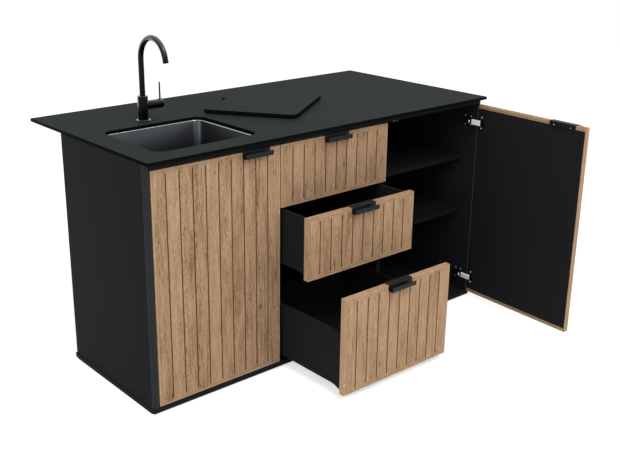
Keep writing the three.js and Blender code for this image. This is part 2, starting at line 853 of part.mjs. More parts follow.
// Drawer box with low front wall, raised floor and a downward channel over each runner
function drawerBox(z, pullTop) {
  const floorZ = z + boxFloorRise;
  const floorTop = floorZ + boxFloorThickness;
  const outline = rectangle(-boxHalfWidth, boxHalfWidth, boxFrontY, boxRearY);
  const inner = rectangle(
    boxWall - boxHalfWidth,
    boxHalfWidth - boxWall,
    boxFrontY + boxWall,
    boxRearY - boxWall,
    boxCornerRadius,
    bendSteps,
  );
  const frontWallTop = pullTop - pullRearDrop - boxFrontClearance;
  const under = box(
    boxWall - boxHalfWidth,
    boxHalfWidth - boxWall,
    boxFrontY - cutOverrun,
    boxRearY + cutOverrun,
    z - cutOverrun,
    floorZ,
  );
  const overFront = box(
    boxWall - boxHalfWidth,
    boxHalfWidth - boxWall,
    boxFrontY - cutOverrun,
    boxFrontY + boxWall + boxCornerRadius,
    frontWallTop,
    Math.max(z + boxHeight, frontWallTop) + cutOverrun,
  );
  const body = cut(
    alongZ(outline, z, z + boxHeight),
    alongZ(inner, floorTop, z + boxHeight + cutOverrun),
    under,
    overFront,
  );
  const channelBottom = z + runnerWallRise + runnerCrossGap;
  const channelTop = floorZ + boxFloorThickness / 2;
  const channels = [-1, 1].map((side) => {
    const outerX = side * runnerOuterX;
    const innerX = side * runnerInnerX;
    const roof = floorZ - runnerWall;
    const wall = side * runnerWall;
    const profile = [
      [outerX, channelBottom],
      [outerX, channelTop],
      [innerX, channelTop],
      [innerX, channelBottom],
      [innerX + wall, channelBottom],
      [innerX + wall, roof],
      [outerX - wall, roof],
      [outerX - wall, channelBottom],
    ];
    const rear = slideRearY - slideBarDepth - channelBehindBar;
    return alongY(roundedOutline(profile), boxFrontY + channelFrontInset, rear);
  });
  return join(body, ...channels);
}

// Fixed runner: upward channel on an angle that is screwed to the partition
function fixedRunner(z, side) {
  const bottom = z - runnerDepthBelowBox + runnerWall / 2;
  const outerX = side * (runnerOuterX - runnerWall / 2);
  const innerX = side * (runnerInnerX + runnerWall / 2);
  const flangeX = side * (bayHalfWidth - contactGap - runnerWall / 2);
  const rise = z + runnerWallRise;
  const channel = [[innerX, rise], [innerX, bottom], [outerX, bottom], [outerX, rise]];
  const angle = [[outerX, bottom], [flangeX, bottom], [flangeX, bottom + runnerFlangeHeight]];
  const front = partitionFront + runnerFrontInset;
  const rear = backFaceY - runnerRearClearance;
  return join(
    alongY(foldedStrip(channel, runnerWall, runnerBendRadius), front, rear),
    alongY(foldedStrip(angle, runnerWall, runnerBendRadius), front, rear),
  );
}

// Middle members of both runners of a drawer, tied across by a bar at the rear
function runnerSlide(z) {
  const bottom = z - runnerDepthBelowBox + runnerWall + runnerPlay;
  const top = z + boxFloorRise - runnerWall - runnerPlay;
  const barBottom = z + runnerWallRise + runnerCrossGap;
  const front = boxFrontY + slideFrontInset;
  const members = [-1, 1].map((side) => {
    const outerX = side * (runnerOuterX - runnerWall - runnerPlay);
    const innerX = side * (runnerInnerX + runnerWall + runnerPlay);
    const middleX = (outerX + innerX) / 2;
    const web = side * slideWeb / 2;
    const section = [
      [innerX, bottom],
      [outerX, bottom],
      [outerX, bottom + slideFlange],
      [middleX + web, bottom + slideFlange],
      [middleX + web, top - slideFlange],
      [outerX, top - slideFlange],
      [outerX, top],
      [innerX, top],
      [innerX, top - slideFlange],
      [middleX - web, top - slideFlange],
      [middleX - web, bottom + slideFlange],
      [innerX, bottom + slideFlange],
    ];
    return alongY(roundedOutline(section), front, slideRearY);
  });
  const barEnd = (runnerInnerX + runnerOuterX) / 2;
  const bar = box(-barEnd, barEnd, slideRearY - slideBarDepth, slideRearY, barBottom, top);
  return join(bar, ...members);
}

drawers.forEach(({ name, z0, z1, out }) => {
  const boxBottom = z0 + boxRise;
  const drawer = new THREE.Group();
  const slide = new THREE.Group();
  drawer.position.y = -Math.min(out, drawerTravel);
  slide.position.y = drawer.position.y / 2;
  island.add(drawer, slide);
  place(`${name}_front`, boardedFront(-frontWidth / 2, frontWidth / 2, z0, z1), timber, drawer);
  place(`${name}_handle`, edgePull(0, z1), blackMetal, drawer);
  place(`${name}_box`, drawerBox(boxBottom, z1), blackPanel, drawer);
  place(`${name}_slide`, runnerSlide(boxBottom), brushedSteel, slide);
  place(`${name}_left_rail`, fixedRunner(boxBottom, -1), brushedSteel);
  place(`${name}_right_rail`, fixedRunner(boxBottom, 1), brushedSteel);
});

// Sink bowl: one skin from the underside of the floor over the flange and back down to the floor
function sinkRing(inset, z) {
  const halfLength = sinkCutoutLength / 2 - sinkLip - inset;
  const halfSide = sinkCutoutWidth / 2 - sinkLip - inset;
  const radius = sinkCutoutRadius - sinkLip - inset;
  return rectangle(
    sinkX - halfLength,
    sinkX + halfLength,
    sinkFromFront - halfSide,
    sinkFromFront + halfSide,
    radius,
  ).map((point) => new THREE.Vector3(point.x, point.y, z));
}

function floorCurve(radius) {
  const centreInset = sinkDraft + sinkFloorRadius;
  const centreZ = sinkFloor + sinkFloorRadius;
  return Array.from({ length: cornerSteps + 1 }, (_, step) => {
    const angle = (Math.PI / 2) * (step / cornerSteps);
    return sinkRing(centreInset - radius * Math.sin(angle), centreZ - radius * Math.cos(angle));
  });
}

const sinkSkin = lofted([
  ...floorCurve(sinkFloorRadius + sinkSheet),
  sinkRing(-sinkSheet, sinkTop - sinkSheet),
  sinkRing(-sinkFlange, sinkTop - sinkSheet),
  sinkRing(-sinkFlange, sinkTop),
  sinkRing(0, sinkTop),
  ...floorCurve(sinkFloorRadius).reverse(),
]);
const drainHole = alongZ(
  circle(drainHoleRadius, sinkX, drainY),
  sinkFloor - sinkSheet - cutOverrun,
  sinkFloor + cutOverrun,
);
place("sink_bowl", cut(sinkSkin, drainHole), sinkSteel);

// Drain body: flange on the bowl's floor, cup, clamping nut underneath and outlet
const cupBottom = sinkFloor - drainCupDepth;
const nutTop = sinkFloor - sinkSheet - contactGap;
const flangeBottom = sinkFloor + contactGap;
const flangeTop = flangeBottom + drainFlangeThickness;
const cupInnerRadius = drainNeckRadius - drainCupWall;
const drain = revolved([
  [outletRadius - outletWall, outletBottom],
  [outletRadius, outletBottom],
  [outletRadius, cupBottom],
  [drainNeckRadius, cupBottom + drainCupDepth / 3],
  [drainNeckRadius, nutTop - drainNutHeight],
  [drainNutRadius, nutTop - drainNutHeight],
  [drainNutRadius, nutTop],
  [drainNeckRadius, nutTop],
  [drainNeckRadius, flangeBottom],
  [drainFlangeRadius, flangeBottom],
  [drainFlangeRadius, flangeTop - drainFlangeThickness / 2],
  [drainNeckRadius, flangeTop],
  [cupInnerRadius, flangeTop],
  [cupInnerRadius, cupBottom + drainCupDepth / 3],
  [outletRadius - outletWall, cupBottom + drainCupWall],
  [outletRadius - outletWall, outletBottom],
]);
place("drain_body", drain.translate(sinkX, drainY, 0), brushedSteel);

// Strainer: pierced basket with a knob, hung by its rim on the drain's flange
const strainerRadius = cupInnerRadius - strainerPlay;
const rimBottom = flangeTop + contactGap;
const rimTop = rimBottom + strainerRimThickness;
const basketBottom = rimTop - strainerDepth;
const basketFloor = basketBottom + strainerWall;
const basket = revolved([
  [0, basketBottom],
  [strainerRadius - strainerWall, basketBottom],
  [strainerRadius, basketFloor],
  [strainerRadius, rimBottom],
  [strainerRimRadius, rimBottom],
  [strainerRimRadius, rimTop],
  [strainerRadius - strainerWall, rimTop],
  [strainerRadius - strainerWall, basketFloor],
  [strainerStemRadius, basketFloor],
  [strainerStemRadius, rimTop - strainerKnobHeight],
  [strainerKnobRadius, rimTop - strainerKnobHeight / 2],
  [strainerKnobRadius, rimTop - strainerWall],
  [strainerKnobRadius - strainerWall, rimTop],
  [0, rimTop],
]);
const strainerCutters = Array.from({ length: strainerHoles }, (_, i) => {
  const angle = (2 * Math.PI * i) / strainerHoles;
  const x = strainerHoleCircle * Math.cos(angle);
  const y = strainerHoleCircle * Math.sin(angle);
  return alongZ(
    circle(strainerHoleRadius, x, y, pinSides),
    basketBottom - cutOverrun,
    basketFloor + cutOverrun,
  );
});
place("strainer", cut(basket, ...strainerCutters).translate(sinkX, drainY, 0), brushedSteel);

// Bottle trap on the outlet, with its pipe through the back panel and a rosette over the hole
const trapBodyTop = trapTop - trapCollarHeight - trapShoulder;
const trapBottle = revolved([
  [0, trapBodyTop - trapHeight],
  [trapRadius - trapShoulder, trapBodyTop - trapHeight],
  [trapRadius, trapBodyTop - trapHeight + trapShoulder],
  [trapRadius, trapBodyTop],
  [trapCollarRadius, trapTop - trapCollarHeight],
  [trapCollarRadius, trapTop],
  [outletRadius + contactGap, trapTop],
  [outletRadius + contactGap, trapTop - trapSocketDepth],
  [0, trapTop - trapSocketDepth],
]).translate(sinkX, drainY, 0);
const trapPipe = alongY(circle(trapPipeRadius, sinkX, trapPipeZ), drainY, cabinetBack - backInset);
const trapRosette = alongY(
  circle(trapRosetteRadius, sinkX, trapPipeZ),
  backFaceY - contactGap - trapRosetteThickness,
  backFaceY - contactGap,
);
place("bottle_trap", join(trapBottle, trapPipe, trapRosette), blackPlastic);

// Tap body: flange and column, socket for the spout, shank with its nut, and the side cartridge
const tapTop = tapBase + tapBodyHeight;
const socketBottom = tapTop - spoutSocketDepth;
const tapNutTop = worktopUnderside - contactGap;
const tapColumn = revolved([
  [0, tapBase - tapShankLength],
  [tapShankRadius, tapBase - tapShankLength],
  [tapShankRadius, tapBase],
  [tapFlangeRadius, tapBase],
  [tapFlangeRadius, tapBase + tapFlangeHeight - tapEdgeRadius],
  [tapFlangeRadius - tapEdgeRadius, tapBase + tapFlangeHeight],
  [tapBodyRadius, tapBase + tapFlangeHeight],
  [tapBodyRadius, tapTop - tapEdgeRadius],
  [tapBodyRadius - tapEdgeRadius, tapTop],
  [spoutRadius + spoutPlay, tapTop],
  [spoutRadius + spoutPlay, socketBottom],
  [0, socketBottom],
]).translate(tapX, tapY, 0);
const tapNut = alongZ(
  circle(tapNutRadius, tapX, tapY, tapNutSides),
  tapNutTop - tapNutHeight,
  tapNutTop,
);
const leverZ = tapBase + cartridgeHeight;
const cartridge = alongX(circle(cartridgeRadius, tapY, leverZ), tapX, tapX + cartridgeReach);
const spoutSocket = alongZ(
  circle(spoutRadius + spoutPlay, tapX, tapY),
  socketBottom,
  tapTop + cutOverrun,
);
place("tap_body", cut(join(tapColumn, tapNut, cartridge), spoutSocket), blackMetal);

// Mixer lever: round cap on the cartridge's axis with a tapered pin standing up from it
const capStart = tapX + cartridgeReach + contactGap;
const leverCap = revolved([
  [0, 0],
  [cartridgeRadius, 0],
  [cartridgeRadius, leverCapLength - leverCapEdge],
  [cartridgeRadius - leverCapEdge, leverCapLength],
  [0, leverCapLength],
]).rotateY(Math.PI / 2).translate(capStart, tapY, leverZ);
const leverPin = revolved([
  [0, 0],
  [leverRadius, 0],
  [leverRadius, leverLength - leverRadius],
  [leverTipRadius, leverLength],
  [0, leverLength],
], pinSides).translate(capStart + leverCapLength / 2, tapY, leverZ);
place("mixer_lever", join(leverCap, leverPin), blackMetal);

// Swan-neck spout: straight riser, half turn towards the front and a short tip with its outlet
function spoutRing(radius, angle, rise) {
  const centreY = tapY - spoutBendRadius * (1 - Math.cos(angle)) - rise * Math.sin(angle);
  const centreZ = tapBase + spoutStraightHeight + spoutBendRadius * Math.sin(angle) + rise * Math.cos(angle);
  return circle(radius, 0, 0, spoutSides).map(({ x, y }) => new THREE.Vector3(
    tapX + x,
    centreY + y * Math.cos(angle),
    centreZ + y * Math.sin(angle),
  ));
}

const spoutFoot = socketBottom + contactGap - tapBase - spoutStraightHeight;
const spoutBend = Array.from({ length: spoutBendSteps + 1 }, (_, step) =>
  spoutRing(spoutRadius, (Math.PI * step) / spoutBendSteps, 0));
const spout = lofted([
  spoutRing(spoutRadius, 0, spoutFoot),
  ...spoutBend,
  spoutRing(spoutRadius, Math.PI, spoutTip),
  spoutRing(spoutBore, Math.PI, spoutTip),
  spoutRing(spoutBore, Math.PI, spoutTip - spoutBoreDepth),
]);
place("tap_spout", spout, blackMetal);

// Loose sink cover lying askew on the worktop, with a finger notch in one long side
const notchSteps = 2 * cornerSteps;
const coverNotch = Array.from({ length: notchSteps + 1 }, (_, step) => {
  const angle = (Math.PI * step) / notchSteps;
  const x = coverNotchRadius * Math.cos(angle);
  return new THREE.Vector2(x, coverWidth / 2 - coverNotchRadius * Math.sin(angle));
});
const coverCorners = rectangle(
  -coverLength / 2,
  coverLength / 2,
  -coverWidth / 2,
  coverWidth / 2,
  coverCornerRadius,
);
const halfOfCorners = coverCorners.length * 3 / 4;
const coverOutline = [
  ...coverCorners.slice(0, halfOfCorners),
  ...coverNotch,
  ...coverCorners.slice(halfOfCorners),
];
const cover = place(
  "sink_cover",
  bevelledBoard(coverOutline, 0, coverThickness, coverEdgeBevel),
  stoneWorktop,
);
cover.position.set(coverCentreX, coverCentreY, islandHeight + contactGap);
cover.rotation.z = THREE.MathUtils.degToRad(coverAngle);

// The origin lies on the floor under the middle of the island as it stands
island.updateMatrixWorld(true);
const extent = new THREE.Box3().setFromObject(island, true);
island.position.y = -extent.getCenter(new THREE.Vector3()).y;

export default island;
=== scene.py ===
# Outdoor kitchen island: black board cabinet, timber fronts, stone-coloured worktop, sink and tap.
# Lengths are in metres in the frame of the CAD model, with X to the right along the front, Y to the back.

import json
import math

import bmesh
import bpy
import numpy as np
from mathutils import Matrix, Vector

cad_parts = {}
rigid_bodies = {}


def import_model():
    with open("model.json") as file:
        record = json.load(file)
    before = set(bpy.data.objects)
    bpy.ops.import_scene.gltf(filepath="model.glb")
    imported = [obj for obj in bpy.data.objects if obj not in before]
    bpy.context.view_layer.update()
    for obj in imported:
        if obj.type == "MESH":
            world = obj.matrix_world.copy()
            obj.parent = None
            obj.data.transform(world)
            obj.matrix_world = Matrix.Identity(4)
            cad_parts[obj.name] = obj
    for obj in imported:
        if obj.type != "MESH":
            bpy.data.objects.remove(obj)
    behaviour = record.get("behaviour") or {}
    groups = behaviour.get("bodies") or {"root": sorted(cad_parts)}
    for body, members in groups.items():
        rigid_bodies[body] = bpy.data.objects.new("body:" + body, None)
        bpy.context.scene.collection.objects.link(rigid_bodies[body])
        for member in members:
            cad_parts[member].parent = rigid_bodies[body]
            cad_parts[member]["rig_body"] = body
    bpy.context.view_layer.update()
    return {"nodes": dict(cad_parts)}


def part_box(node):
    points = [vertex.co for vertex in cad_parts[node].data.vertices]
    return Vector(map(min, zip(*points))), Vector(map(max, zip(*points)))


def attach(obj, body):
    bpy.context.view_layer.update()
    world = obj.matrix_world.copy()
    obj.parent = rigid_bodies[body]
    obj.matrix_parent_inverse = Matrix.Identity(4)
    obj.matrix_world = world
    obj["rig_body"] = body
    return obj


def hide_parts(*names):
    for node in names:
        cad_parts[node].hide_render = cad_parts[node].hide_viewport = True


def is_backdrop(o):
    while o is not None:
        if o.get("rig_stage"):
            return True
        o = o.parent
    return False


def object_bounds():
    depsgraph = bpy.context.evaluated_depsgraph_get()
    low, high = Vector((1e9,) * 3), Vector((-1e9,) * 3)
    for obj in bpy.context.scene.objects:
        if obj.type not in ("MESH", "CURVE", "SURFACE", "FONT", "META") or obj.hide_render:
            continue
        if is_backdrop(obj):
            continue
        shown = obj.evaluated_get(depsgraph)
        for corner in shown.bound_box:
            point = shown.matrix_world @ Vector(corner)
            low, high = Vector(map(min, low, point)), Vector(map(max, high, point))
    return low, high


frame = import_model()


# Camera
# It stands before the island's left end, a little above eye height, and looks down at it.
# Its place, aim and focal length come from the straight edges and equal bays in the photograph.
def placed(name, data):
    """A new object that holds the data, linked to the scene."""
    made = bpy.data.objects.new(name, data)
    bpy.context.scene.collection.objects.link(made)
    return made


degrees_down, degrees_right = 18.88, 39.27
camera_data = bpy.data.cameras.new("photo_camera")
camera = placed("photo_camera", camera_data)
camera.location = (-2.3272, -2.6124, 1.7061)
camera.rotation_euler = (math.radians(90 - degrees_down), 0, math.radians(-degrees_right))
camera_data.sensor_width = 36
camera_data.lens = 54.05
camera_data.shift_x = 0.0571
camera_data.shift_y = -0.0096
camera_data.clip_end = 60
bpy.context.scene.camera = camera


# Studio
# A pale floor that fades into a white surround, lit by an even sky and three soft lamps:
# one high over the front, one from the left and a weak one from the right.
def shader_nodes(material):
    """The node tree of a material, with its Principled shader and its output."""
    material.use_nodes = True
    tree = material.node_tree
    return tree, tree.nodes["Principled BSDF"], tree.nodes["Material Output"]


def fill(made, values):
    """Sets values on the inputs of a node, by name or number."""
    for key, value in dict(values).items():
        made.inputs[key].default_value = value


def node(tree, kind, values=(), **settings):
    """A new node of that kind, with settings on the node and values on its inputs."""
    made = tree.nodes.new(kind)
    for key, value in settings.items():
        setattr(made, key, value)
    fill(made, values)
    return made


def wire(tree, *ends):
    """Links sockets two by two: output, input, output, input."""
    for output, target in zip(ends[::2], ends[1::2]):
        tree.links.new(output, target)


def shown_rays(tree):
    """One on rays that show a thing: straight, mirrored or through clear parts. Zero on its soft light."""
    rays = node(tree, "ShaderNodeLightPath")
    seen = node(tree, "ShaderNodeMath", operation="MAXIMUM")
    seen_or_clear = node(tree, "ShaderNodeMath", operation="MAXIMUM")
    wire(tree, rays.outputs["Is Camera Ray"], seen.inputs[0], rays.outputs["Is Glossy Ray"], seen.inputs[1],
         seen.outputs[0], seen_or_clear.inputs[0],
         rays.outputs["Is Transmission Ray"], seen_or_clear.inputs[1])
    return seen_or_clear.outputs[0]


floor_reach = 14
floor_corners = [(-floor_reach, -floor_reach, 0), (floor_reach, -floor_reach, 0),
                 (floor_reach, floor_reach, 0), (-floor_reach, floor_reach, 0)]
floor_mesh = bpy.data.meshes.new("floor")
floor_mesh.from_pydata(floor_corners, [], [(0, 1, 2, 3)])
floor = placed("floor", floor_mesh)
floor_paint = bpy.data.materials.new("floor_paint")
tree, shader, output = shader_nodes(floor_paint)
fill(shader, {"Base Color": (0.86, 0.86, 0.86, 1), "Roughness": 0.9, "Specular IOR Level": 0.1})
lift = node(tree, "ShaderNodeMath", {1: 0.55}, operation="MULTIPLY")
glow = node(tree, "ShaderNodeEmission", {"Color": (1, 1, 1, 1)})
both = node(tree, "ShaderNodeAddShader")
wire(tree, shown_rays(tree), lift.inputs[0], lift.outputs[0], glow.inputs["Strength"],
     shader.outputs[0], both.inputs[0], glow.outputs[0], both.inputs[1],
     both.outputs[0], output.inputs["Surface"])
floor_mesh.materials.append(floor_paint)
floor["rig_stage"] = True

world = bpy.data.worlds.new("studio_sky")
world.use_nodes = True
bpy.context.scene.world = world
sky_tree = world.node_tree
sky_tree.nodes.clear()
sky_light = node(sky_tree, "ShaderNodeBackground", {"Color": (0.96, 0.98, 1, 1), "Strength": 0.55})
sky_white = node(sky_tree, "ShaderNodeBackground", {"Color": (1, 1, 1, 1), "Strength": 1.0})
sky_mix = node(sky_tree, "ShaderNodeMixShader")
sky_out = node(sky_tree, "ShaderNodeOutputWorld")
wire(sky_tree, shown_rays(sky_tree), sky_mix.inputs[0],
     sky_light.outputs[0], sky_mix.inputs[1], sky_white.outputs[0], sky_mix.inputs[2],
     sky_mix.outputs[0], sky_out.inputs["Surface"])


def soft_lamp(name, place, target, size, watts):
    """Square area lamp of that size at place, aimed at target."""
    data = bpy.data.lights.new(name, "AREA")
    data.shape = "SQUARE"
    data.size = size
    data.energy = watts
    lamp = placed(name, data)
    lamp.location = place
    way = np.array(target, float) - np.array(place, float)
    flat = math.hypot(way[0], way[1])
    lamp.rotation_euler = (math.atan2(flat, -way[2]), 0, math.atan2(way[1], way[0]) - math.pi / 2)


soft_lamp("overhead_front", (-0.4, -2.4, 3.6), (0, 0, 0.4), 2.6, 95)
soft_lamp("from_left", (-3.6, -0.6, 2.2), (0, 0, 0.5), 2.2, 42)
soft_lamp("from_right", (3.0, -2.6, 2.0), (0.4, 0, 0.5), 2.0, 22)
bpy.context.scene.view_settings.view_transform = "Standard"


# Worktop and loose sink cover
# Thin compact laminate: a stone-coloured matt skin on a black core that shows at every cut edge.
# The edges are eased with a small round, the cover lies loose on the worktop beside the sink.
crease = math.radians(32)
flat_enough = math.radians(0.6)


def eased(made, width, steps):
    """Rounds the sharp edges of a piece by that width."""
    bevel = made.modifiers.new("eased_edges", "BEVEL")
    bevel.width = width
    bevel.segments = steps
    bevel.limit_method = "ANGLE"
    bevel.angle_limit = crease
    bevel.harden_normals = True


def dressed(name, ease, slot, *paints, steps=2):
    """Painted copy of a CAD node with doubles merged, flat facets joined and edges rounded by ease."""
    source = frame["nodes"][name]
    mesh = source.data.copy()
    if "custom_normal" in mesh.attributes:
        mesh.attributes.remove(mesh.attributes["custom_normal"])
    mesh.materials.clear()
    shell = bmesh.new()
    shell.from_mesh(mesh)
    bmesh.ops.remove_doubles(shell, verts=shell.verts, dist=2e-6)
    bmesh.ops.dissolve_limit(shell, angle_limit=flat_enough, verts=shell.verts, edges=shell.edges)
    shell.to_mesh(mesh)
    shell.free()
    mesh.shade_smooth()
    mesh.set_sharp_from_angle(angle=crease)
    for paint in paints:
        mesh.materials.append(paint)
    made = placed(name + "_finished", mesh)
    eased(made, ease, steps)
    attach(made, source["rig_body"])
    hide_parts(name)
    return made


def new_group(name, inputs, outputs):
    """Empty shader node group with named inputs and outputs, and its two end nodes."""
    group = bpy.data.node_groups.new(name, "ShaderNodeTree")
    for label, kind, value in inputs:
        socket = group.interface.new_socket(label, in_out="INPUT", socket_type="NodeSocket" + kind)
        if value is not None:
            socket.default_value = value
    for label, kind in outputs:
        group.interface.new_socket(label, in_out="OUTPUT", socket_type="NodeSocket" + kind)
    return group, group.nodes.new("NodeGroupInput"), group.nodes.new("NodeGroupOutput")


# Fine tooth of a matt skin: two sizes of noise, summed to a height, with a speckle mask beside it
tooth_group, tooth_in, tooth_out = new_group(
    "skin_tooth",
    [("Vector", "Vector", None), ("Scale", "Float", 900.0), ("Coarse Share", "Float", 0.25)],
    [("Height", "Float"), ("Speckle", "Float")],
)
fine = node(tooth_group, "ShaderNodeTexNoise", {"Detail": 2.0, "Roughness": 0.6})
coarse_scale = node(tooth_group, "ShaderNodeMath", operation="MULTIPLY")
coarse = node(tooth_group, "ShaderNodeTexNoise", {"Detail": 3.0, "Roughness": 0.5})
summed = node(tooth_group, "ShaderNodeMath", operation="ADD")
spots = node(tooth_group, "ShaderNodeMapRange", {"From Min": 0.45, "From Max": 0.75})
wire(tooth_group, tooth_in.outputs["Vector"], fine.inputs["Vector"],
     tooth_in.outputs["Scale"], fine.inputs["Scale"],
     tooth_in.outputs["Scale"], coarse_scale.inputs[0],
     tooth_in.outputs["Coarse Share"], coarse_scale.inputs[1],
     tooth_in.outputs["Vector"], coarse.inputs["Vector"],
     coarse_scale.outputs[0], coarse.inputs["Scale"],
     fine.outputs["Fac"], summed.inputs[0], coarse.outputs["Fac"], summed.inputs[1],
     summed.outputs[0], tooth_out.inputs["Height"],
     fine.outputs["Fac"], spots.inputs["Value"],
     spots.outputs["Result"], tooth_out.inputs["Speckle"])

# Slow drift of tone over a large surface, as a factor round one for the colour and a mask for the gloss
drift_group, drift_in, drift_out = new_group(
    "tone_drift",
    [("Vector", "Vector", None), ("Scale", "Float", 2.0), ("Amount", "Float", 0.06)],
    [("Factor", "Float"), ("Mask", "Float")],
)
clouds = node(drift_group, "ShaderNodeTexNoise", {"Detail": 4.0, "Roughness": 0.55})
centred = node(drift_group, "ShaderNodeMath", {1: 0.5}, operation="SUBTRACT")
scaled = node(drift_group, "ShaderNodeMath", operation="MULTIPLY")
round_one = node(drift_group, "ShaderNodeMath", {1: 1.0}, operation="ADD")
wire(drift_group, drift_in.outputs["Vector"], clouds.inputs["Vector"],
     drift_in.outputs["Scale"], clouds.inputs["Scale"],
     clouds.outputs["Fac"], centred.inputs[0], centred.outputs[0], scaled.inputs[0],
     drift_in.outputs["Amount"], scaled.inputs[1], scaled.outputs[0], round_one.inputs[0],
     round_one.outputs[0], drift_out.inputs["Factor"],
     clouds.outputs["Fac"], drift_out.inputs["Mask"])


def matt_skin(name, colour, roughness, drift=0.08, tooth=900.0, depth=0.00003, speckle=0.06, specular=0.5):
    """Matt coloured skin: colour times slow drift and fine speckle, gloss that wanders, fine tooth."""
    paint = bpy.data.materials.new(name)
    tree, shader, _ = shader_nodes(paint)
    place = node(tree, "ShaderNodeTexCoord").outputs["Object"]
    drifting = node(tree, "ShaderNodeGroup", {"Amount": drift}, node_tree=drift_group)
    toothed = node(tree, "ShaderNodeGroup", {"Scale": tooth}, node_tree=tooth_group)
    grain = node(tree, "ShaderNodeMapRange", {"To Min": 1.0 - speckle, "To Max": 1.0 + speckle})
    tone = node(tree, "ShaderNodeMath", operation="MULTIPLY")
    tinted = node(tree, "ShaderNodeVectorMath", {0: colour}, operation="SCALE")
    gloss = node(tree, "ShaderNodeMapRange", {"To Min": roughness - 0.06, "To Max": roughness + 0.06})
    bump = node(tree, "ShaderNodeBump", {"Strength": 1.0, "Distance": depth})
    wire(tree, place, drifting.inputs["Vector"], place, toothed.inputs["Vector"],
         toothed.outputs["Speckle"], grain.inputs["Value"],
         drifting.outputs["Factor"], tone.inputs[0], grain.outputs["Result"], tone.inputs[1],
         tone.outputs[0], tinted.inputs["Scale"],
         tinted.outputs["Vector"], shader.inputs["Base Color"],
         drifting.outputs["Mask"], gloss.inputs["Value"],
         gloss.outputs["Result"], shader.inputs["Roughness"],
         toothed.outputs["Height"], bump.inputs["Height"], bump.outputs[0], shader.inputs["Normal"])
    shader.inputs["Specular IOR Level"].default_value = specular
    return paint


def moved_points(thing, move):
    """Moves the points of a finished piece: move takes and gives an array of places, one row each."""
    points = np.empty(len(thing.data.vertices) * 3)
    thing.data.vertices.foreach_get("co", points)
    thing.data.vertices.foreach_set("co", move(points.reshape(-1, 3)).ravel())
    thing.data.update()


sink_middle = (-0.535, 0.1221)
cutout_low, cutout_high = np.array([-0.745, -0.060]), np.array([-0.325, 0.305])
push_left, push_right, push_front, push_back = -0.009, 0.017, -0.014, 0.008
cover_lift_painted_shade, cover_shift = 0.0045, np.array([-0.008, 0.004, 0.0])


def wider_cutout(points):
    """The cut-out's four sides pushed outward to the size in the photograph, its corners kept."""
    inside = np.all((points[:, :2] > cutout_low) & (points[:, :2] < cutout_high), axis=1)
    points[:, 0] += inside * np.where(points[:, 0] < sink_middle[0], push_left, push_right)
    points[:, 1] += inside * np.where(points[:, 1] < sink_middle[1], push_front, push_back)
    return points


def thicker_with_painted_shade(points):
    """The upper side raised and the board shifted, to look as thick and lie as in the photograph."""
    # The raised upper side deepens the cover's black edge band: partly the cover's own edge, partly painted
    # shade for the shade under it.
    points[:, 2] += np.where(points[:, 2] > points[:, 2].mean(), cover_lift_painted_shade, 0.0)
    return points + cover_shift


worktop_skin = matt_skin("worktop_skin", (0.0198, 0.0250, 0.0234), 0.62, speckle=0.10, tooth=700.0,
                         specular=0.02)
worktop_core = matt_skin("worktop_core", (0.0030, 0.0036, 0.0036), 0.55, specular=0.01)
for name, move in (("worktop", wider_cutout), ("sink_cover", thicker_with_painted_shade)):
    board = dressed(name, 0.0006, "worktop", worktop_skin, worktop_core)
    moved_points(board, move)
    for face in board.data.polygons:
        face.material_index = 0 if abs(face.normal.z) > 0.9 else 1


# Cabinet boards
# Black laminated board, satin and hardly textured: base slab, sides with rounded corners and boarded inner
# faces, front posts painted paler (own tone and painted highlight), partitions, back, top frame and shelves,
# screwed and housed together.
post_width = 0.022
black_board = matt_skin("black_board", (0.0145, 0.0150, 0.0166), 0.52, drift=0.10, tooth=1200.0,
                        depth=0.00002, speckle=0.05, specular=0.01)
# The shelves' board is painted darker than the rest: painted shade for the dim inside of the open bay.
dim_board = matt_skin("dim_board", (0.0095, 0.0098, 0.0105), 0.55, drift=0.10, tooth=1200.0, depth=0.00002,
                      speckle=0.05, specular=0.01)
# The front strip of each side gets a paler, bluer board: partly the posts' own tone, partly a painted
# highlight along their rounded edge.
post_board_painted_highlight = matt_skin("post_board_painted_highlight", (0.0150, 0.0182, 0.0200), 0.38, drift=0.05, tooth=1200.0,
                       depth=0.00002, speckle=0.04, specular=0.10)
for name in ("base_slab", "left_side", "right_side", "left_partition", "right_partition",
             "back_panel", "top_frame", "upper_shelf", "lower_shelf"):
    board = dressed(name, 0.0008, "black_board", dim_board if "shelf" in name else black_board)
    if "side" in name:
        board.data.materials.append(post_board_painted_highlight)
        post_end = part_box(name)[0].y + post_width
        for face in board.data.polygons:
            face.material_index = 1 if face.center.y < post_end else 0

black_plastic = matt_skin("black_plastic", (0.009, 0.009, 0.010), 0.55, depth=0.00002, specular=0.2)
for index in range(1, 5):
    dressed(f"foot_rail_{index}", 0.0010, "black_plastic", black_plastic)


# Timber fronts
# Brushed, limed oak: ten plain-sawn boards side by side in a thin mitred rim, with V grooves between
# them that stop before both ends. Each board has its own tone, growth rings, pores, knots and checks.
board_count = 10
board_width = 0.05353
edge_margin = 0.0035
rim_width = 0.009
ring_spacing = 0.0052
groove_low, groove_high, groove_stop = 0.0015, 0.0045, 0.012
painted_shade_depth, painted_shade_width, open_door_number = 0.004, 0.0060, 4
hinge_gap, axis_in_side, axis_behind_face = 0.004, 0.0098, 0.0108
open_angle = math.radians(87)
door_axis = np.array([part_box("right_side")[0].x + axis_in_side,
                      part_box("top_drawer_front")[0].y + axis_behind_face, 0.0])


def plugged(tree, made, terms):
    """First output of a node whose first inputs take the terms, each a socket or a number."""
    for slot, term in enumerate(terms):
        if isinstance(term, (int, float)):
            made.inputs[slot].default_value = term
        else:
            wire(tree, term, made.inputs[slot])
    return made.outputs[0]


def calc(tree, operation, *terms):
    """Output of a Math node whose terms are sockets or numbers."""
    return plugged(tree, node(tree, "ShaderNodeMath", operation=operation), terms)


def times(tree, first, second):
    """Output of a Math node that multiplies two sockets or numbers."""
    return calc(tree, "MULTIPLY", first, second)


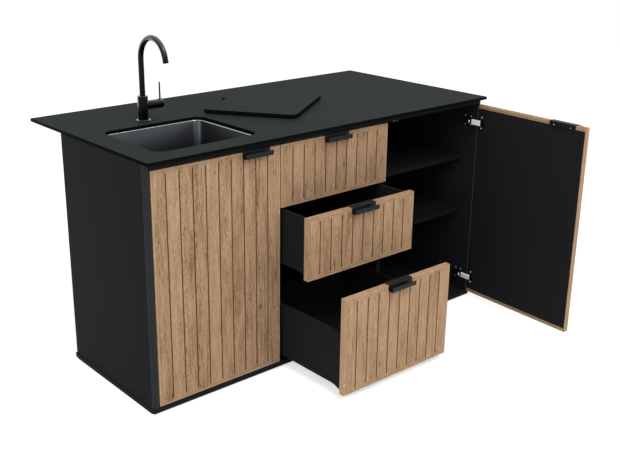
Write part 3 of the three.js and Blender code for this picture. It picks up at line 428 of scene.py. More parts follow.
def ramp(tree, value, start, end, low=0.0, high=1.0):
    """Smooth step of a value from low at start to high at end."""
    values = {"From Min": start, "From Max": end, "To Min": low, "To Max": high}
    made = node(tree, "ShaderNodeMapRange", values, interpolation_type="SMOOTHSTEP")
    wire(tree, value, made.inputs["Value"])
    return made.outputs["Result"]


def point(tree, *parts):
    """Vector output put together from three sockets or numbers."""
    return plugged(tree, node(tree, "ShaderNodeCombineXYZ"), parts)


def noise(tree, place, across, along, detail=3.0, roughness=0.55):
    """Noise at a place, with features of 1/across metres over the grain and 1/along metres down it."""
    squeezed = node(tree, "ShaderNodeVectorMath", {1: (across, across, along)}, operation="MULTIPLY")
    made = node(tree, "ShaderNodeTexNoise", {"Scale": 1.0, "Detail": detail, "Roughness": roughness})
    wire(tree, place, squeezed.inputs[0], squeezed.outputs[0], made.inputs["Vector"])
    return made.outputs["Fac"]


def blend(tree, mask, first, second):
    """Colour that goes from first to second with a mask; each is a socket or a colour."""
    made = node(tree, "ShaderNodeMix", data_type="RGBA")
    wire(tree, mask, made.inputs[0])
    for slot, colour in ((6, first), (7, second)):
        if isinstance(colour, tuple):
            made.inputs[slot].default_value = (*colour, 1)
        else:
            wire(tree, colour, made.inputs[slot])
    return made.outputs[2]


timber = bpy.data.materials.new("timber")
tree, shader, _ = shader_nodes(timber)
near_edges = node(tree, "ShaderNodeSeparateXYZ")
far_edges = node(tree, "ShaderNodeSeparateXYZ")
for label, parts in (("front_near", near_edges), ("front_far", far_edges)):
    wire(tree, node(tree, "ShaderNodeAttribute", attribute_name=label).outputs["Vector"], parts.inputs[0])
from_left, depth, from_bottom = near_edges.outputs
from_right, front_number, from_top = far_edges.outputs

# A board is ten to a front; a rim strip counts as a board of its own, and the end strips lie crosswise
end_reach = calc(tree, "MINIMUM", from_bottom, from_top)
side_reach = calc(tree, "MINIMUM", from_left, from_right)
in_end_strip = times(tree, calc(tree, "LESS_THAN", end_reach, rim_width),
                     calc(tree, "LESS_THAN", end_reach, side_reach))
in_rim = calc(tree, "LESS_THAN", calc(tree, "MINIMUM", end_reach, side_reach), rim_width)
inner = calc(tree, "DIVIDE", calc(tree, "SUBTRACT", from_left, edge_margin), board_width)
inner = calc(tree, "MINIMUM", calc(tree, "MAXIMUM", inner, 0.01), board_count - 0.01)
board = calc(tree, "FLOOR", inner)
board = calc(tree, "ADD", calc(tree, "MULTIPLY_ADD", front_number, 40.0, board),
             calc(tree, "MULTIPLY_ADD", in_rim, 12.0, times(tree, in_end_strip, 7.0)))
dice = node(tree, "ShaderNodeTexWhiteNoise", noise_dimensions="1D")
wire(tree, board, dice.inputs["W"])
chance = node(tree, "ShaderNodeSeparateColor")
wire(tree, dice.outputs["Color"], chance.inputs[0])
place_chance, depth_chance, tilt_chance = chance.outputs[:3]
tone_chance = dice.outputs["Value"]
across = times(tree, calc(tree, "SUBTRACT", calc(tree, "FRACT", inner), 0.5), board_width)
side_place = point(tree, across, depth, from_bottom)
end_place = point(tree, end_reach, depth, from_left)
crosswise = node(tree, "ShaderNodeMix", data_type="VECTOR")
wire(tree, in_end_strip, crosswise.inputs[0], side_place, crosswise.inputs[4], end_place, crosswise.inputs[5])
own_shift = node(tree, "ShaderNodeVectorMath", {1: (3.0, 5.0, 9.0)}, operation="MULTIPLY")
grain_place = node(tree, "ShaderNodeVectorMath", operation="ADD")
wire(tree, dice.outputs["Color"], own_shift.inputs[0], own_shift.outputs[0], grain_place.inputs[0],
     crosswise.outputs[1], grain_place.inputs[1])
grain_place = grain_place.outputs[0]
own_place = node(tree, "ShaderNodeSeparateXYZ")
wire(tree, crosswise.outputs[1], own_place.inputs[0])

# Knots: a few cells of a stretched Voronoi pattern, with a dark core and a halo that bends the rings
knot_cells = node(tree, "ShaderNodeTexVoronoi", {"Scale": 1.0}, feature="F1")
knot_spacing = node(tree, "ShaderNodeVectorMath", {1: (22.0, 4.0, 8.5)}, operation="MULTIPLY")
wire(tree, grain_place, knot_spacing.inputs[0], knot_spacing.outputs[0], knot_cells.inputs["Vector"])
knot_pick = node(tree, "ShaderNodeSeparateColor")
wire(tree, knot_cells.outputs["Color"], knot_pick.inputs[0])
is_knot = calc(tree, "GREATER_THAN", knot_pick.outputs[0], 0.80)
knot_core = times(tree, is_knot, ramp(tree, knot_cells.outputs["Distance"], 0.06, 0.15, 1.0, 0.0))
knot_halo = times(tree, is_knot, ramp(tree, knot_cells.outputs["Distance"], 0.08, 0.48, 1.0, 0.0))

# Growth rings: the distance to a pith line that runs behind the board, tilted, warped and bent at knots
warp = times(tree, calc(tree, "SUBTRACT", noise(tree, grain_place, 14.0, 5.0, 2.0), 0.5), 0.050)
sideways = times(tree, calc(tree, "SUBTRACT", place_chance, 0.5), 0.036)
pith_side = calc(tree, "ADD", own_place.outputs[0], sideways)
tilted = times(tree, own_place.outputs[2], times(tree, calc(tree, "SUBTRACT", tilt_chance, 0.5), 0.12))
pith_depth = calc(tree, "ADD", calc(tree, "MULTIPLY_ADD", depth_chance, 0.030, own_place.outputs[1]), tilted)
pith_depth = calc(tree, "ADD", calc(tree, "ADD", pith_depth, warp), times(tree, knot_halo, 0.012))
ring_distance = calc(tree, "ADD", times(tree, pith_side, pith_side), times(tree, pith_depth, pith_depth))
ring_distance = calc(tree, "SQRT", ring_distance)
ring_phase = calc(tree, "ADD", calc(tree, "DIVIDE", ring_distance, ring_spacing),
                  times(tree, noise(tree, grain_place, 160.0, 22.0, 2.0), 0.5))
late_wood = ramp(tree, calc(tree, "FRACT", ring_phase), 0.0, 0.55, 1.0, 0.0)

# Tone: streaks, mottle and pores along the grain, and the board's own darkness
streaks = noise(tree, grain_place, 85.0, 6.0, 4.0, 0.6)
mottle = noise(tree, grain_place, 210.0, 34.0, 3.0, 0.6)
clouding = noise(tree, grain_place, 20.0, 6.0, 2.0)
pores = ramp(tree, noise(tree, grain_place, 640.0, 30.0, 2.0, 0.6), 0.50, 0.72)
checks = ramp(tree, noise(tree, grain_place, 230.0, 8.0, 2.0, 0.5), 0.69, 0.76)
liming = times(tree, late_wood, ramp(tree, noise(tree, grain_place, 330.0, 70.0, 2.0), 0.53, 0.66))
ring_strength = ramp(tree, noise(tree, grain_place, 24.0, 3.0, 1.0), 0.35, 0.65, 0.35, 1.0)
ring_share = times(tree, late_wood, ring_strength)
darkness = calc(tree, "MULTIPLY_ADD", ring_share, 0.34, 0.27)
for mask, middle, weight in ((streaks, 0.5, 1.25), (mottle, 0.5, 0.80), (clouding, 0.5, 0.72),
                             (pores, 0.0, 0.22), (tone_chance, 0.5, 0.22)):
    darkness = calc(tree, "MULTIPLY_ADD", calc(tree, "SUBTRACT", mask, middle), weight, darkness)
darkness = times(tree, darkness, calc(tree, "MULTIPLY_ADD", in_rim, -0.22, 1.0))
palette = node(tree, "ShaderNodeValToRGB")
palette.color_ramp.elements[0].color = (0.430, 0.277, 0.162, 1)
palette.color_ramp.elements[1].color = (0.105, 0.053, 0.024, 1)
for position, colour in ((0.35, (0.352, 0.217, 0.120, 1)), (0.65, (0.228, 0.128, 0.064, 1))):
    palette.color_ramp.elements.new(position).color = colour
wire(tree, darkness, palette.inputs[0])

# The look put together: palette by darkness, then knots, checks, pale flecks, rim joints and grooves
look = palette.outputs["Color"]
for mask, share, colour in (
        (knot_halo, 0.35, (0.215, 0.120, 0.062)), (knot_core, 0.88, (0.060, 0.029, 0.013)),
        (checks, 0.55, (0.100, 0.052, 0.024)), (liming, 0.70, (0.600, 0.480, 0.350))):
    look = blend(tree, times(tree, mask, share), look, colour)
edge_reach = calc(tree, "MINIMUM", end_reach, side_reach)
rim_joint = calc(tree, "ABSOLUTE", calc(tree, "SUBTRACT", edge_reach, rim_width))
look = blend(tree, ramp(tree, rim_joint, 0.0002, 0.0011, 0.55, 0.0), look, (0.120, 0.064, 0.030))
toned = node(tree, "ShaderNodeVectorMath", operation="SCALE")
front_tone = node(tree, "ShaderNodeAttribute", attribute_name="front_tone")
wire(tree, look, toned.inputs[0], front_tone.outputs["Fac"], toned.inputs["Scale"])
groove_mask = node(tree, "ShaderNodeAttribute", attribute_name="groove").outputs["Fac"]
look = blend(tree, ramp(tree, groove_mask, 0.0, 0.12), toned.outputs[0], (0.125, 0.054, 0.019))

# Painted shade: the open door's hinge edge, the last front by number, is painted dark behind its face, where
# shade falls
hinge_edge_painted_shade = times(tree, calc(tree, "GREATER_THAN", front_number, open_door_number - 0.5),
                   calc(tree, "GREATER_THAN", depth, painted_shade_depth))
hinge_edge_painted_shade = times(tree, hinge_edge_painted_shade, calc(tree, "LESS_THAN", from_right, painted_shade_width))
look = blend(tree, times(tree, hinge_edge_painted_shade, 0.92), look, (0.030, 0.026, 0.024))
wire(tree, look, shader.inputs["Base Color"])
relief = calc(tree, "MULTIPLY_ADD", late_wood, -0.5, times(tree, pores, -0.9))
relief = calc(tree, "SUBTRACT", relief, calc(tree, "MAXIMUM", checks, knot_core))
relief = calc(tree, "MULTIPLY_ADD", mottle, 0.5, relief)
brushed = node(tree, "ShaderNodeBump", {"Strength": 0.7, "Distance": 0.0004})
wire(tree, relief, brushed.inputs["Height"], brushed.outputs[0], shader.inputs["Normal"],
     ramp(tree, streaks, 0.2, 0.8, 0.78, 0.62), shader.inputs["Roughness"])
shader.inputs["Specular IOR Level"].default_value = 0.2


def timber_front(name, left, face, number, tone, turn=0.0):
    """Dressed front whose points carry their distances from its edges, its number, tone and groove mask."""
    mesh = dressed(name, 0.0007, "timber", timber).data
    points = np.empty(len(mesh.vertices) * 3)
    mesh.vertices.foreach_get("co", points)
    pivot = door_axis if turn else np.zeros(3)
    points = points.reshape(-1, 3) - pivot
    cosine, sine = math.cos(-turn), math.sin(-turn)
    across = points[:, 0] * cosine - points[:, 1] * sine + pivot[0] - left
    depth = points[:, 0] * sine + points[:, 1] * cosine + pivot[1] - face
    height = points[:, 2]
    near = np.column_stack([across, depth, height - height.min()])
    far = np.column_stack([across.max() - across, np.full(len(height), float(number)), height.max() - height])
    in_groove = ((depth > groove_low) & (depth < groove_high)
                 & (near[:, 2] > groove_stop) & (far[:, 2] > groove_stop))
    for label, vectors in (("front_near", near), ("front_far", far)):
        mesh.attributes.new(label, "FLOAT_VECTOR", "POINT").data.foreach_set("vector", vectors.ravel())
    for label, values in (("groove", in_groove.astype(float)), ("front_tone", np.full(len(height), tone))):
        mesh.attributes.new(label, "FLOAT", "POINT").data.foreach_set("value", values)


front_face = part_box("top_drawer_front")[0].y
for number, (name, tone) in enumerate((("left_door_front", 1.01), ("top_drawer_front", 0.95),
                                       ("middle_drawer_front", 1.06), ("bottom_drawer_front", 1.11))):
    low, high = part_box(name)
    timber_front(name, low.x, low.y, number, tone)
door_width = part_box("left_door_front")[1].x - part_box("left_door_front")[0].x
door_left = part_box("right_side")[0].x - hinge_gap - door_width
timber_front("right_door_front", door_left, front_face, open_door_number, 1.0, open_angle)


# Door backings
# Black laminated panels let into the back of both doors, flush within the timber edge.
for name in ("left_door_panel", "right_door_panel"):
    dressed(name, 0.0004, "black_board", black_board)


# Edge pulls
# Folded steel strip with a matt black powder coat: it hooks over the top edge of each front, runs
# down its face and turns forward and up into a finger channel. Two small screws hold its rear leg.
pull_width, pull_sheet, pull_gap, pull_bend = 0.122, 0.0025, 0.0003, 0.002
pull_rear_drop, pull_face_drop, pull_reach, pull_lip_drop = 0.022, 0.023, 0.023, 0.0047
pull_screw_share, pull_screw_drop, pull_screw_radius = 0.32, 0.012, 0.0018
front_depth = 0.023


def rounded_path(corners, radius, steps=5):
    """Polyline through the corners with each inner corner turned into an arc of that radius."""
    corners = np.array(corners, float)
    path = [corners[:1]]
    for before, at, after in zip(corners[:-2], corners[1:-1], corners[2:]):
        back = (before - at) / np.linalg.norm(before - at)
        ahead = (after - at) / np.linalg.norm(after - at)
        half = math.acos(np.clip(back @ ahead, -1, 1)) / 2
        middle = at + (back + ahead) / np.linalg.norm(back + ahead) * radius / math.sin(half)
        start = at + back * radius / math.tan(half) - middle
        stop = at + ahead * radius / math.tan(half) - middle
        share = np.linspace(0, 1, steps)[:, None]
        arc = start * (1 - share) + stop * share
        path.append(middle + arc / np.linalg.norm(arc, axis=1)[:, None] * radius)
    path.append(corners[-1:])
    return np.concatenate(path)


def thickened(path, sheet):
    """Closed outline of a sheet whose middle follows the path: the path shifted to both sides."""
    along = np.gradient(path, axis=0)
    along /= np.linalg.norm(along, axis=1)[:, None]
    side = np.column_stack([-along[:, 1], along[:, 0]]) * sheet / 2
    return np.concatenate([path + side, (path - side)[::-1]])


def rings_mesh(name, rings, closed=False):
    """Skin over rings of equal count, each point joined to its four neighbours. Ends are capped, or meet."""
    rings = np.asarray(rings, float)
    count, size = rings.shape[:2]
    row = np.arange(count if closed else count - 1)[:, None]
    column = np.arange(size)[None, :]
    beside = (column + 1) % size
    here, below = row * size, (row + 1) % count * size
    faces = np.stack([here + column, here + beside, below + beside, below + column], axis=-1)
    faces = faces.reshape(-1, 4).tolist()
    if not closed:
        faces += [list(range(size))[::-1], list(range((count - 1) * size, count * size))]
    mesh = bpy.data.meshes.new(name)
    mesh.from_pydata(rings.reshape(-1, 3).tolist(), [], faces)
    tidy = bmesh.new()
    tidy.from_mesh(mesh)
    bmesh.ops.remove_doubles(tidy, verts=tidy.verts, dist=1e-6)
    bmesh.ops.recalc_face_normals(tidy, faces=tidy.faces)
    tidy.to_mesh(mesh)
    tidy.free()
    mesh.shade_smooth()
    mesh.set_sharp_from_angle(angle=crease)
    return placed(name, mesh)


def across_x(outline, places):
    """The outline, whose columns are Y and Z, set square across X at each of the places."""
    return np.array([np.column_stack([np.full(len(outline), x), outline]) for x in places])


def finished(made, owner, paint, stands_for=(), ease=0.0):
    """Paints a piece, lets it ride on its owner's body, and takes the place of CAD nodes if told."""
    made.data.materials.append(paint)
    if ease > 0:
        eased(made, ease, 2)
    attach(made, frame["nodes"][owner]["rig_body"])
    for name in stands_for:
        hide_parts(name)
    return made


def opened(points):
    """The right door's points turned from its closed place to its open one, about its hinge axis."""
    cosine, sine = math.cos(open_angle), math.sin(open_angle)
    offset = np.asarray(points, float) - door_axis
    return offset @ np.array([[cosine, sine, 0], [-sine, cosine, 0], [0, 0, 1]]) + door_axis


pull_coat = matt_skin("pull_coat", (0.0078, 0.0090, 0.0098), 0.38, tooth=1800.0, depth=0.00004, specular=0.12)
screw_steel = bpy.data.materials.new("screw_steel")
_, shader, _ = shader_nodes(screw_steel)
fill(shader, {"Base Color": (0.80, 0.80, 0.78, 1), "Metallic": 0.6, "Roughness": 0.25})


def screw_head(name, place, facing, radius, owner, turn=None):
    """Domed pan head: a quarter-round profile turned about the way it faces, with a small driver recess."""
    dome, recess, recess_floor = radius * 0.55, radius * 0.12, radius * 0.3
    profile = [(radius, 0.0)]
    profile += [(radius * math.cos(a), dome * math.sin(a)) for a in np.linspace(0, math.pi / 2, 5)[:-1]]
    profile += [(recess, dome), (recess, recess_floor)]
    facing = np.array(facing, float)
    side = np.cross(facing, (0, 0, 1.0)) if abs(facing[2]) < 0.9 else np.array((1.0, 0, 0))
    other = np.cross(facing, side)
    angle = np.linspace(0, 2 * math.pi, 16, endpoint=False)[:, None]
    rings = np.array([np.array(place) + out * (np.cos(angle) * side + np.sin(angle) * other) + up * facing
                      for out, up in profile])
    if turn is not None:
        rings = turn(rings)
    return finished(rings_mesh(name, rings), owner, screw_steel)


pull_offset = pull_gap + pull_sheet / 2
pull_corners = [(front_depth + pull_offset, -pull_rear_drop), (front_depth + pull_offset, pull_offset),
                (-pull_offset, pull_offset), (-pull_offset, pull_sheet / 2 - pull_face_drop),
                (pull_sheet / 2 - pull_reach, pull_sheet / 2 - pull_face_drop),
                (pull_sheet / 2 - pull_reach, -pull_lip_drop)]
pull_outline = thickened(rounded_path(pull_corners, pull_bend), pull_sheet)
left_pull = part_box("left_door_handle")
door_pull = (left_pull[0].x + left_pull[1].x) / 2
pull_places = {"left_door": door_pull, "right_door": -door_pull}
for owner in ("left_door", "right_door", "top_drawer", "middle_drawer", "bottom_drawer"):
    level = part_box(f"{owner}_front")[1].z
    face = front_face if owner == "right_door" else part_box(f"{owner}_front")[0].y
    middle = pull_places.get(owner, 0.0)
    rings = across_x(pull_outline + (face, level), middle + np.array([-0.5, 0.5]) * pull_width)
    turn = opened if owner == "right_door" else None
    finished(rings_mesh(f"{owner}_pull", turn(rings) if turn else rings), f"{owner}_front", pull_coat,
             [f"{owner}_handle"], ease=0.0005)
    rear = face + front_depth + pull_offset + pull_sheet / 2
    for number, side in enumerate((-1, 1), 1):
        place = (middle + side * pull_width * pull_screw_share, rear, level - pull_screw_drop)
        screw_head(f"{owner}_pull_screw_{number}", place, (0, 1, 0), pull_screw_radius, f"{owner}_front",
                   turn)


# Hinges
# Nickel-plated pressed steel: wall plate and arm on the side panel, forked link, cup let into the door.
def plated(name, colour, roughness):
    """Bright plating: metal with faint brush lines and a gloss that wanders."""
    plate = bpy.data.materials.new(name)
    tree, shader, _ = shader_nodes(plate)
    place = node(tree, "ShaderNodeTexCoord").outputs["Object"]
    squeeze = node(tree, "ShaderNodeMapping", {"Scale": (1.0, 1.0, 14.0)})
    lines = node(tree, "ShaderNodeTexNoise", {"Scale": 260.0, "Detail": 4.0})
    gloss = node(tree, "ShaderNodeMapRange", {"To Min": roughness * 0.7, "To Max": roughness * 1.4})
    drifting = node(tree, "ShaderNodeGroup", node_tree=drift_group)
    tinted = node(tree, "ShaderNodeVectorMath", {0: colour}, operation="SCALE")
    bump = node(tree, "ShaderNodeBump", {"Strength": 0.4, "Distance": 0.00002})
    wire(tree, place, squeeze.inputs["Vector"], squeeze.outputs[0], lines.inputs["Vector"],
         place, drifting.inputs["Vector"], drifting.outputs["Factor"], tinted.inputs["Scale"],
         tinted.outputs["Vector"], shader.inputs["Base Color"],
         lines.outputs["Fac"], gloss.inputs["Value"],
         gloss.outputs["Result"], shader.inputs["Roughness"],
         lines.outputs["Fac"], bump.inputs["Height"], bump.outputs[0], shader.inputs["Normal"])
    shader.inputs["Metallic"].default_value = 1.0
    return plate


nickel = plated("nickel", (0.90, 0.90, 0.88), 0.16)
dark_nickel = plated("dark_nickel", (0.085, 0.088, 0.092), 0.30)
bright_plate = matt_skin("bright_plate", (0.95, 0.95, 0.94), 0.30, drift=0.02, tooth=1800.0,
                         depth=0.00001, speckle=0.02)
link_length, link_height, link_sheet, link_flange = 0.046, 0.021, 0.0016, 0.005
link_start, link_side_gap = 0.0165, 0.0042
pin_side, pin_depth = 0.8065, 0.032
plate_inset, plate_spread, plate_lift, plate_screw_radius = 0.005, 0.0185, 0.0021, 0.0030
cup_place, cup_spread, cup_plate, cup_screw_radius = 0.7925, 0.0235, 0.0014, 0.0032
for side in ("left", "right"):
    for level in ("upper", "lower"):
        hinge = f"{side}_{level}_hinge"
        for part, plating in (("cup", dark_nickel), ("link", nickel), ("arm", dark_nickel)):
            dressed(f"{hinge}_{part}", 0.0002, "hinge_nickel", plating, steps=1)
        hand = -1 if side == "left" else 1
        height = (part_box(f"{hinge}_cup")[0].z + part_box(f"{hinge}_cup")[1].z) / 2

        # Bright cover of the link: a shallow pressed channel over its two prongs, past the plate's cheeks
        channel = rounded_path([(link_flange, -link_height / 2), (0, -link_height / 2), (0, link_height / 2),
                                (link_flange, link_height / 2)], 0.0016)
        section = thickened(channel, link_sheet)
        reach = np.array([link_start, link_start + link_length])
        pin_y = front_face + pin_depth
        if side == "right":
            rings = [np.column_stack([pin_side - link_side_gap + section[:, 0],
                                      np.full(len(section), pin_y - along), height + section[:, 1]])
                     for along in reach]
        else:
            flipped = np.column_stack([pin_y + link_side_gap - section[:, 0], height + section[:, 1]])
            rings = across_x(flipped, reach - pin_side)
        finished(rings_mesh(f"{hinge}_link_cover", rings), f"{hinge}_link", bright_plate,
                 ease=0.0004)

        # Screws: four in the wall plate, two in the cup's plate
        low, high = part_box(f"{hinge}_arm")
        wall = high.x if side == "right" else low.x
        rows = (low.y + plate_inset, high.y - plate_inset)
        plate_places = [(wall - hand * plate_lift, row, height + step * plate_spread)
                        for row in rows for step in (-1, 1)]
        for number, place in enumerate(plate_places, 1):
            screw_head(f"{hinge}_plate_screw_{number}", place, (-hand, 0, 0), plate_screw_radius,
                       f"{hinge}_arm")
        for number, step in enumerate((-1, 1), 1):
            place = (hand * cup_place, front_face + front_depth + cup_plate, height + step * cup_spread)
            screw_head(f"{hinge}_cup_screw_{number}", place, (0, 1, 0), cup_screw_radius, f"{hinge}_cup",
                       opened if side == "right" else None)


# Drawer boxes
# Black board boxes with a low front wall, each screwed to the back of its timber front. Their sides
# reach down to the front's lower edge in a short curved toe.
toe_length, toe_drop, side_board, toe_lap, toe_inset = 0.052, 0.017, 0.014, 0.001, 0.0001
for owner in ("top_drawer", "middle_drawer", "bottom_drawer"):
    dressed(f"{owner}_box", 0.0006, "black_board", black_board)
    low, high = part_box(f"{owner}_box")
    share = np.linspace(0, 1, 9)
    curve = np.column_stack([low.y + toe_length * share, low.z - toe_drop * (1 - share) ** 1.5])
    outline = np.concatenate([curve, [[low.y + toe_length, low.z + toe_lap], [low.y, low.z + toe_lap]]])
    for side, start in (("left", low.x), ("right", high.x - side_board)):
        rings = across_x(outline, (start + toe_inset, start + side_board - toe_inset))
        finished(rings_mesh(f"{owner}_{side}_toe", rings), f"{owner}_box", black_board)


# Runners and catches
# Rolled zinc-plated steel: fixed rails on the partitions, which end behind the boxes' toes, middle
# members with their tie bar, and the black magnetic catches with bright poles under the top frame.
zinc = plated("zinc", (0.42, 0.44, 0.46), 0.34)
runner_parts = [f"{owner}_drawer_{part}" for owner in ("top", "middle", "bottom")
                for part in ("slide", "left_rail", "right_rail")]
toe_room, rail_end, pole_depth = 0.056, 0.012, 0.0014
for name in runner_parts:
    piece = dressed(name, 0.0003, "steel", zinc, steps=1)
    if "rail" in name:
        end_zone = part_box(name)[0].y + rail_end
        moved_points(piece, lambda points: points + np.outer(points[:, 1] < end_zone, (0, toe_room, 0)))
for name in ("left_door_catch", "right_door_catch"):
    catch = dressed(name, 0.0003, "steel", black_plastic, bright_plate, steps=1)
    poles_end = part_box(name)[0].y + pole_depth
    for face in catch.data.polygons:
        face.material_index = 1 if face.center.y < poles_end else 0


# Sink bowl and waste
# Dark coated steel bowl pressed in one piece and glued under the cut-out: drafted walls, tight upright
# corners, a soft floor fillet and a floor that leads to the drain, with basket and bottle trap below.
bowl_left, bowl_right, bowl_front, bowl_back = -0.742, -0.3235, -0.064, 0.3035
bowl_depth, bowl_sheet, bowl_flange = 0.190, 0.0015, 0.017
bowl_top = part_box("sink_bowl")[1].z
bowl_floor = bowl_top - bowl_depth
bowl_corner, bowl_draft, bowl_fillet, rim_round, rim_draft = 0.030, 0.006, 0.018, 0.003, 0.0005
tightest_corner, bright_depth, drain_hole = 0.006, 0.0022, 0.045
drain_low, drain_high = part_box("drain_body")
drain_middle = np.array([sink_middle[0], (drain_low.y + drain_high.y) / 2])


def at_height(flat, height):
    """Flat points raised to one height."""
    return np.column_stack([flat, np.full(len(flat), height)])


def bowl_ring(inset, height, corner_steps=10, side_steps=8):
    """The bowl's rounded rectangle drawn in by inset: a quarter circle and a straight run, four times."""
    radius = max(bowl_corner - inset, tightest_corner)
    left, right, front, back = bowl_left + inset, bowl_right - inset, bowl_front + inset, bowl_back - inset
    centres = [(right - radius, back - radius), (left + radius, back - radius),
               (left + radius, front + radius), (right - radius, front + radius)]
    points = []
    for quarter, centre in enumerate(centres):
        angle = np.linspace(0, math.pi / 2, corner_steps) + quarter * math.pi / 2
        arc = np.array(centre) + radius * np.column_stack([np.cos(angle), np.sin(angle)])
        following = np.array(centres[(quarter + 1) % 4])
        turn = (quarter + 1) * math.pi / 2
        goal = following + radius * np.array([math.cos(turn), math.sin(turn)])
        run = arc[-1] + (goal - arc[-1]) * np.linspace(0, 1, side_steps + 1)[1:-1, None]
        points += [arc, run]
    return at_height(np.concatenate(points), height)


def drain_ring(radius, height, like):
    """Circle round the drain whose points lie the same way from its centre as those of another ring."""
    away = like[:, :2] - drain_middle
    return at_height(drain_middle + away / np.linalg.norm(away, axis=1)[:, None] * radius, height)


def fillet_rings(angles, sheet):
    """Rings up the fillet between floor and walls, on the face that lies a sheet further out."""
    return [bowl_ring(bowl_draft - sheet + bowl_fillet * (1 - math.sin(a)),
                      bowl_floor - sheet + bowl_fillet * (1 - math.cos(a))) for a in angles]


floor_edge = bowl_ring(bowl_draft + bowl_fillet, bowl_floor)
curve = np.linspace(0, math.pi / 2, 9)
inner = [drain_ring(drain_hole, bowl_floor, floor_edge)]
for share in (0.35, 0.7):
    inner.append(inner[0] * (1 - share) + floor_edge * share)
inner += fillet_rings(curve, 0.0)
inner.append(bowl_ring(rim_draft, bowl_top - rim_round))
inner += [bowl_ring(-rim_round * (1 - math.cos(a)), bowl_top - rim_round * (1 - math.sin(a)))
          for a in curve[2::2]]
outer = [bowl_ring(-inset, bowl_top - drop)
         for inset, drop in ((bowl_flange, 0.0), (bowl_flange, bowl_sheet), (rim_round, bowl_sheet),
                             (bowl_sheet, rim_round))]
outer += fillet_rings(curve[::-1], bowl_sheet)
outer.append(drain_ring(drain_hole, bowl_floor - bowl_sheet, floor_edge))
sink_coat = plated("sink_coat", (0.050, 0.054, 0.060), 0.36)
bright_rim = plated("bright_rim", (0.55, 0.57, 0.60), 0.25)
bowl_skin = finished(rings_mesh("bowl_skin", inner + outer, closed=True), "sink_bowl", sink_coat,
                     ["sink_bowl"])
bowl_skin.data.materials.append(bright_rim)
for face in bowl_skin.data.polygons:
    face.material_index = 1 if face.center.z > bowl_top - bright_depth else 0
steel = plated("steel", (0.50, 0.51, 0.52), 0.28)
for name in ("drain_body", "strainer"):
    dressed(name, 0.0003, "steel", steel, steps=1)
dressed("bottle_trap", 0.0008, "black_plastic", black_plastic)


# Tap
# Brass under a glossy black coating: a turned column on a low base ring, a side cartridge with its
# turning cap and pin lever, a swan neck that swivels in the column, and a shank and nut of bare steel.
black_gloss = bpy.data.materials.new("black_gloss")
tree, shader, _ = shader_nodes(black_gloss)
# Painted highlight and painted reflection: the coat's colour is lightened at glancing edges and on faces that
# look up, standing in for reflections of lamps and sky.
glancing = node(tree, "ShaderNodeLayerWeight", {"Blend": 0.5})
skyward = node(tree, "ShaderNodeAttribute", attribute_name="skyward")
painted_edge_highlight = ramp(tree, glancing.outputs["Facing"], 0.22, 0.92)
painted_sky_reflection = ramp(tree, skyward.outputs["Fac"], 0.30, 1.0, 0.0, 0.42)
painted_highlight_share = calc(tree, "MAXIMUM", painted_edge_highlight, painted_sky_reflection)
coating = blend(tree, painted_highlight_share, (0.0105, 0.0112, 0.0120), (0.330, 0.345, 0.350))
wire(tree, coating, shader.inputs["Base Color"])
fill(shader, {"Metallic": 1.0, "Roughness": 0.20})
base_radius, tap_x, tap_base = 0.028, -0.528, 0.9203
tap_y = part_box("tap_body")[0].y + base_radius
around = np.linspace(0, 2 * math.pi, 48, endpoint=False)


def turned(profile, centre, axis="z"):
    """Rings of a turned piece: each profile pair is a radius and a place along the axis from the centre."""
    rings = []
    for radius, along in profile:
        first, second = radius * np.cos(around), radius * np.sin(around)
        steady = np.full(len(around), along)
        parts = (first, second, steady) if axis == "z" else (steady, first, second)
        rings.append(np.column_stack(parts) + np.array(centre))
    return rings


def edge_round(radius, edge, along):
    """Quarter-round profile points from the full radius to an end face at that place along the axis."""
    angles = np.linspace(0, math.pi / 2, 5)
    return [(radius - edge * (1 - math.cos(a)), along - edge * (1 - math.sin(a))) for a in angles]


def coated(name, rings, owner, stands_for=()):
    """A black coated piece of the tap. Its points store how far their normals look up, for the painted sky
    reflection.
    """
    made = finished(rings_mesh(name, rings), owner, black_gloss, stands_for)
    normals = np.empty(len(made.data.vertices) * 3)
    made.data.vertices.foreach_get("normal", normals)
    made.data.attributes.new("skyward", "FLOAT", "POINT").data.foreach_set("value", normals[2::3].copy())


# Profiles of the turned pieces: radius, then place along the axis
column = [(0.0, 0.0), (0.0268, 0.0)] + edge_round(0.0270, 0.0016, 0.0040)
column += [(0.0206, 0.0046), (0.0204, 0.0060), (0.0200, 0.020)] + edge_round(0.0200, 0.0016, 0.095)
column += [(0.0118, 0.095), (0.0118, 0.090), (0.0, 0.090)]
barrel = [(0.0, 0.010), (0.0176, 0.010), (0.0176, 0.0652), (0.0166, 0.0660), (0.0, 0.0660)]
cap = [(0.0, 0.0666), (0.0168, 0.0666), (0.0182, 0.0676), (0.0182, 0.076)]
cap += edge_round(0.0182, 0.0034, 0.0856) + [(0.0, 0.0856)]
pin = [(0.0, 0.012), (0.0034, 0.012), (0.0032, 0.045)] + edge_round(0.0029, 0.0010, 0.082) + [(0.0, 0.082)]
cartridge_rise, lever_side = 0.057, 0.0758
foot = (tap_x, tap_y, tap_base)
cartridge = (tap_x, tap_y, tap_base + cartridge_rise)
lever_foot = (tap_x + lever_side, tap_y, tap_base + cartridge_rise)
coated("tap_column", turned(column, foot), "tap_body")
coated("tap_barrel", turned(barrel, cartridge, "x"), "tap_body")
coated("lever_cap", turned(cap, cartridge, "x"), "mixer_lever", ["mixer_lever"])
coated("lever_pin", turned(pin, lever_foot), "mixer_lever")

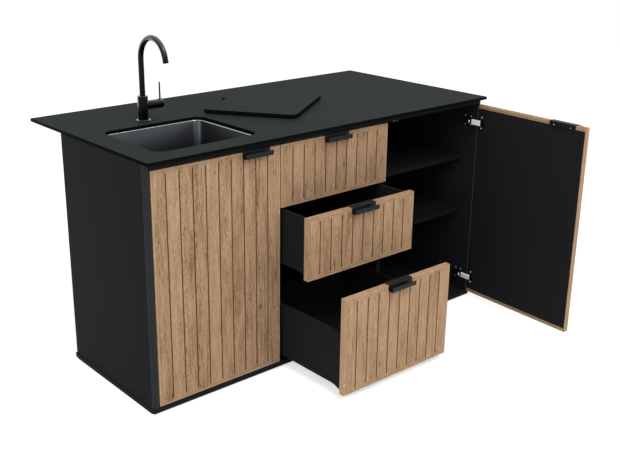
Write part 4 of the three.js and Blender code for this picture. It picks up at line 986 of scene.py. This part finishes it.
# The neck: rings set across a path that rises, bends by 166 degrees and ends in a short tip
neck_radius, bend_radius, bend_angle, rise = 0.0110, 0.0840, math.radians(166), 0.2343
neck_foot, neck_start, tip_length, mouth_depth = 0.0905, 0.0960, 0.018, 0.006
path, heading = [(tap_y, tap_base + neck_foot)], [0.0]
for height in np.linspace(neck_start, rise, 6):
    path.append((tap_y, tap_base + height))
    heading.append(0.0)
for angle in np.linspace(0, bend_angle, 49)[1:]:
    path.append((tap_y - bend_radius * (1 - math.cos(angle)),
                 tap_base + rise + bend_radius * math.sin(angle)))
    heading.append(angle)
ahead = np.array([-math.sin(bend_angle), math.cos(bend_angle)])
end_of_bend = np.array(path[-1])
stations = [(place, turn, neck_radius) for place, turn in zip(path, heading)]
stations += [(end_of_bend + ahead * (tip_length - short), bend_angle, radius) for short, radius in
             ((0.0012, neck_radius), (0.0004, 0.0107), (0.0, 0.0100), (0.0, 0.0088),
              (mouth_depth, 0.0086), (mouth_depth, 0.0))]
rings = []
for place, turn, radius in stations:
    outward = radius * np.cos(around)
    rings.append(np.column_stack([tap_x + radius * np.sin(around), place[0] - outward * math.cos(turn),
                                  place[1] - outward * math.sin(turn)]))
coated("tap_neck", rings, "tap_spout", ["tap_spout"])

# The shank through the worktop and its hexagonal nut from below, whose bore just clears it
shank_end, shank_radius, shank_edge, shank_top = 0.8753, 0.0165, 0.0008, tap_base - 0.0001
nut_radius, nut_bore, nut_low, nut_high = 0.0240, 0.0191, 0.8957, 0.9077
shank = [(0.0, shank_end), (shank_radius - shank_edge, shank_end), (shank_radius, shank_end + shank_edge),
         (shank_radius, shank_top), (0.0, shank_top)]
finished(rings_mesh("tap_shank", turned(shank, (tap_x, tap_y, 0.0))), "tap_body", steel,
         ["tap_body"])
hexagon = np.linspace(0, 2 * math.pi, 6, endpoint=False)
corners = np.column_stack([np.cos(hexagon), np.sin(hexagon)])
nut_rings = [at_height((tap_x, tap_y) + radius * corners, level)
             for radius, level in ((nut_bore, nut_low), (nut_radius, nut_low), (nut_radius, nut_high),
                                   (nut_bore, nut_high))]
finished(rings_mesh("tap_nut", nut_rings, closed=True), "tap_body", steel, ease=0.0008)


# Sizes
# The box round the dressed model's shown pieces, the floor left out.
low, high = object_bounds()
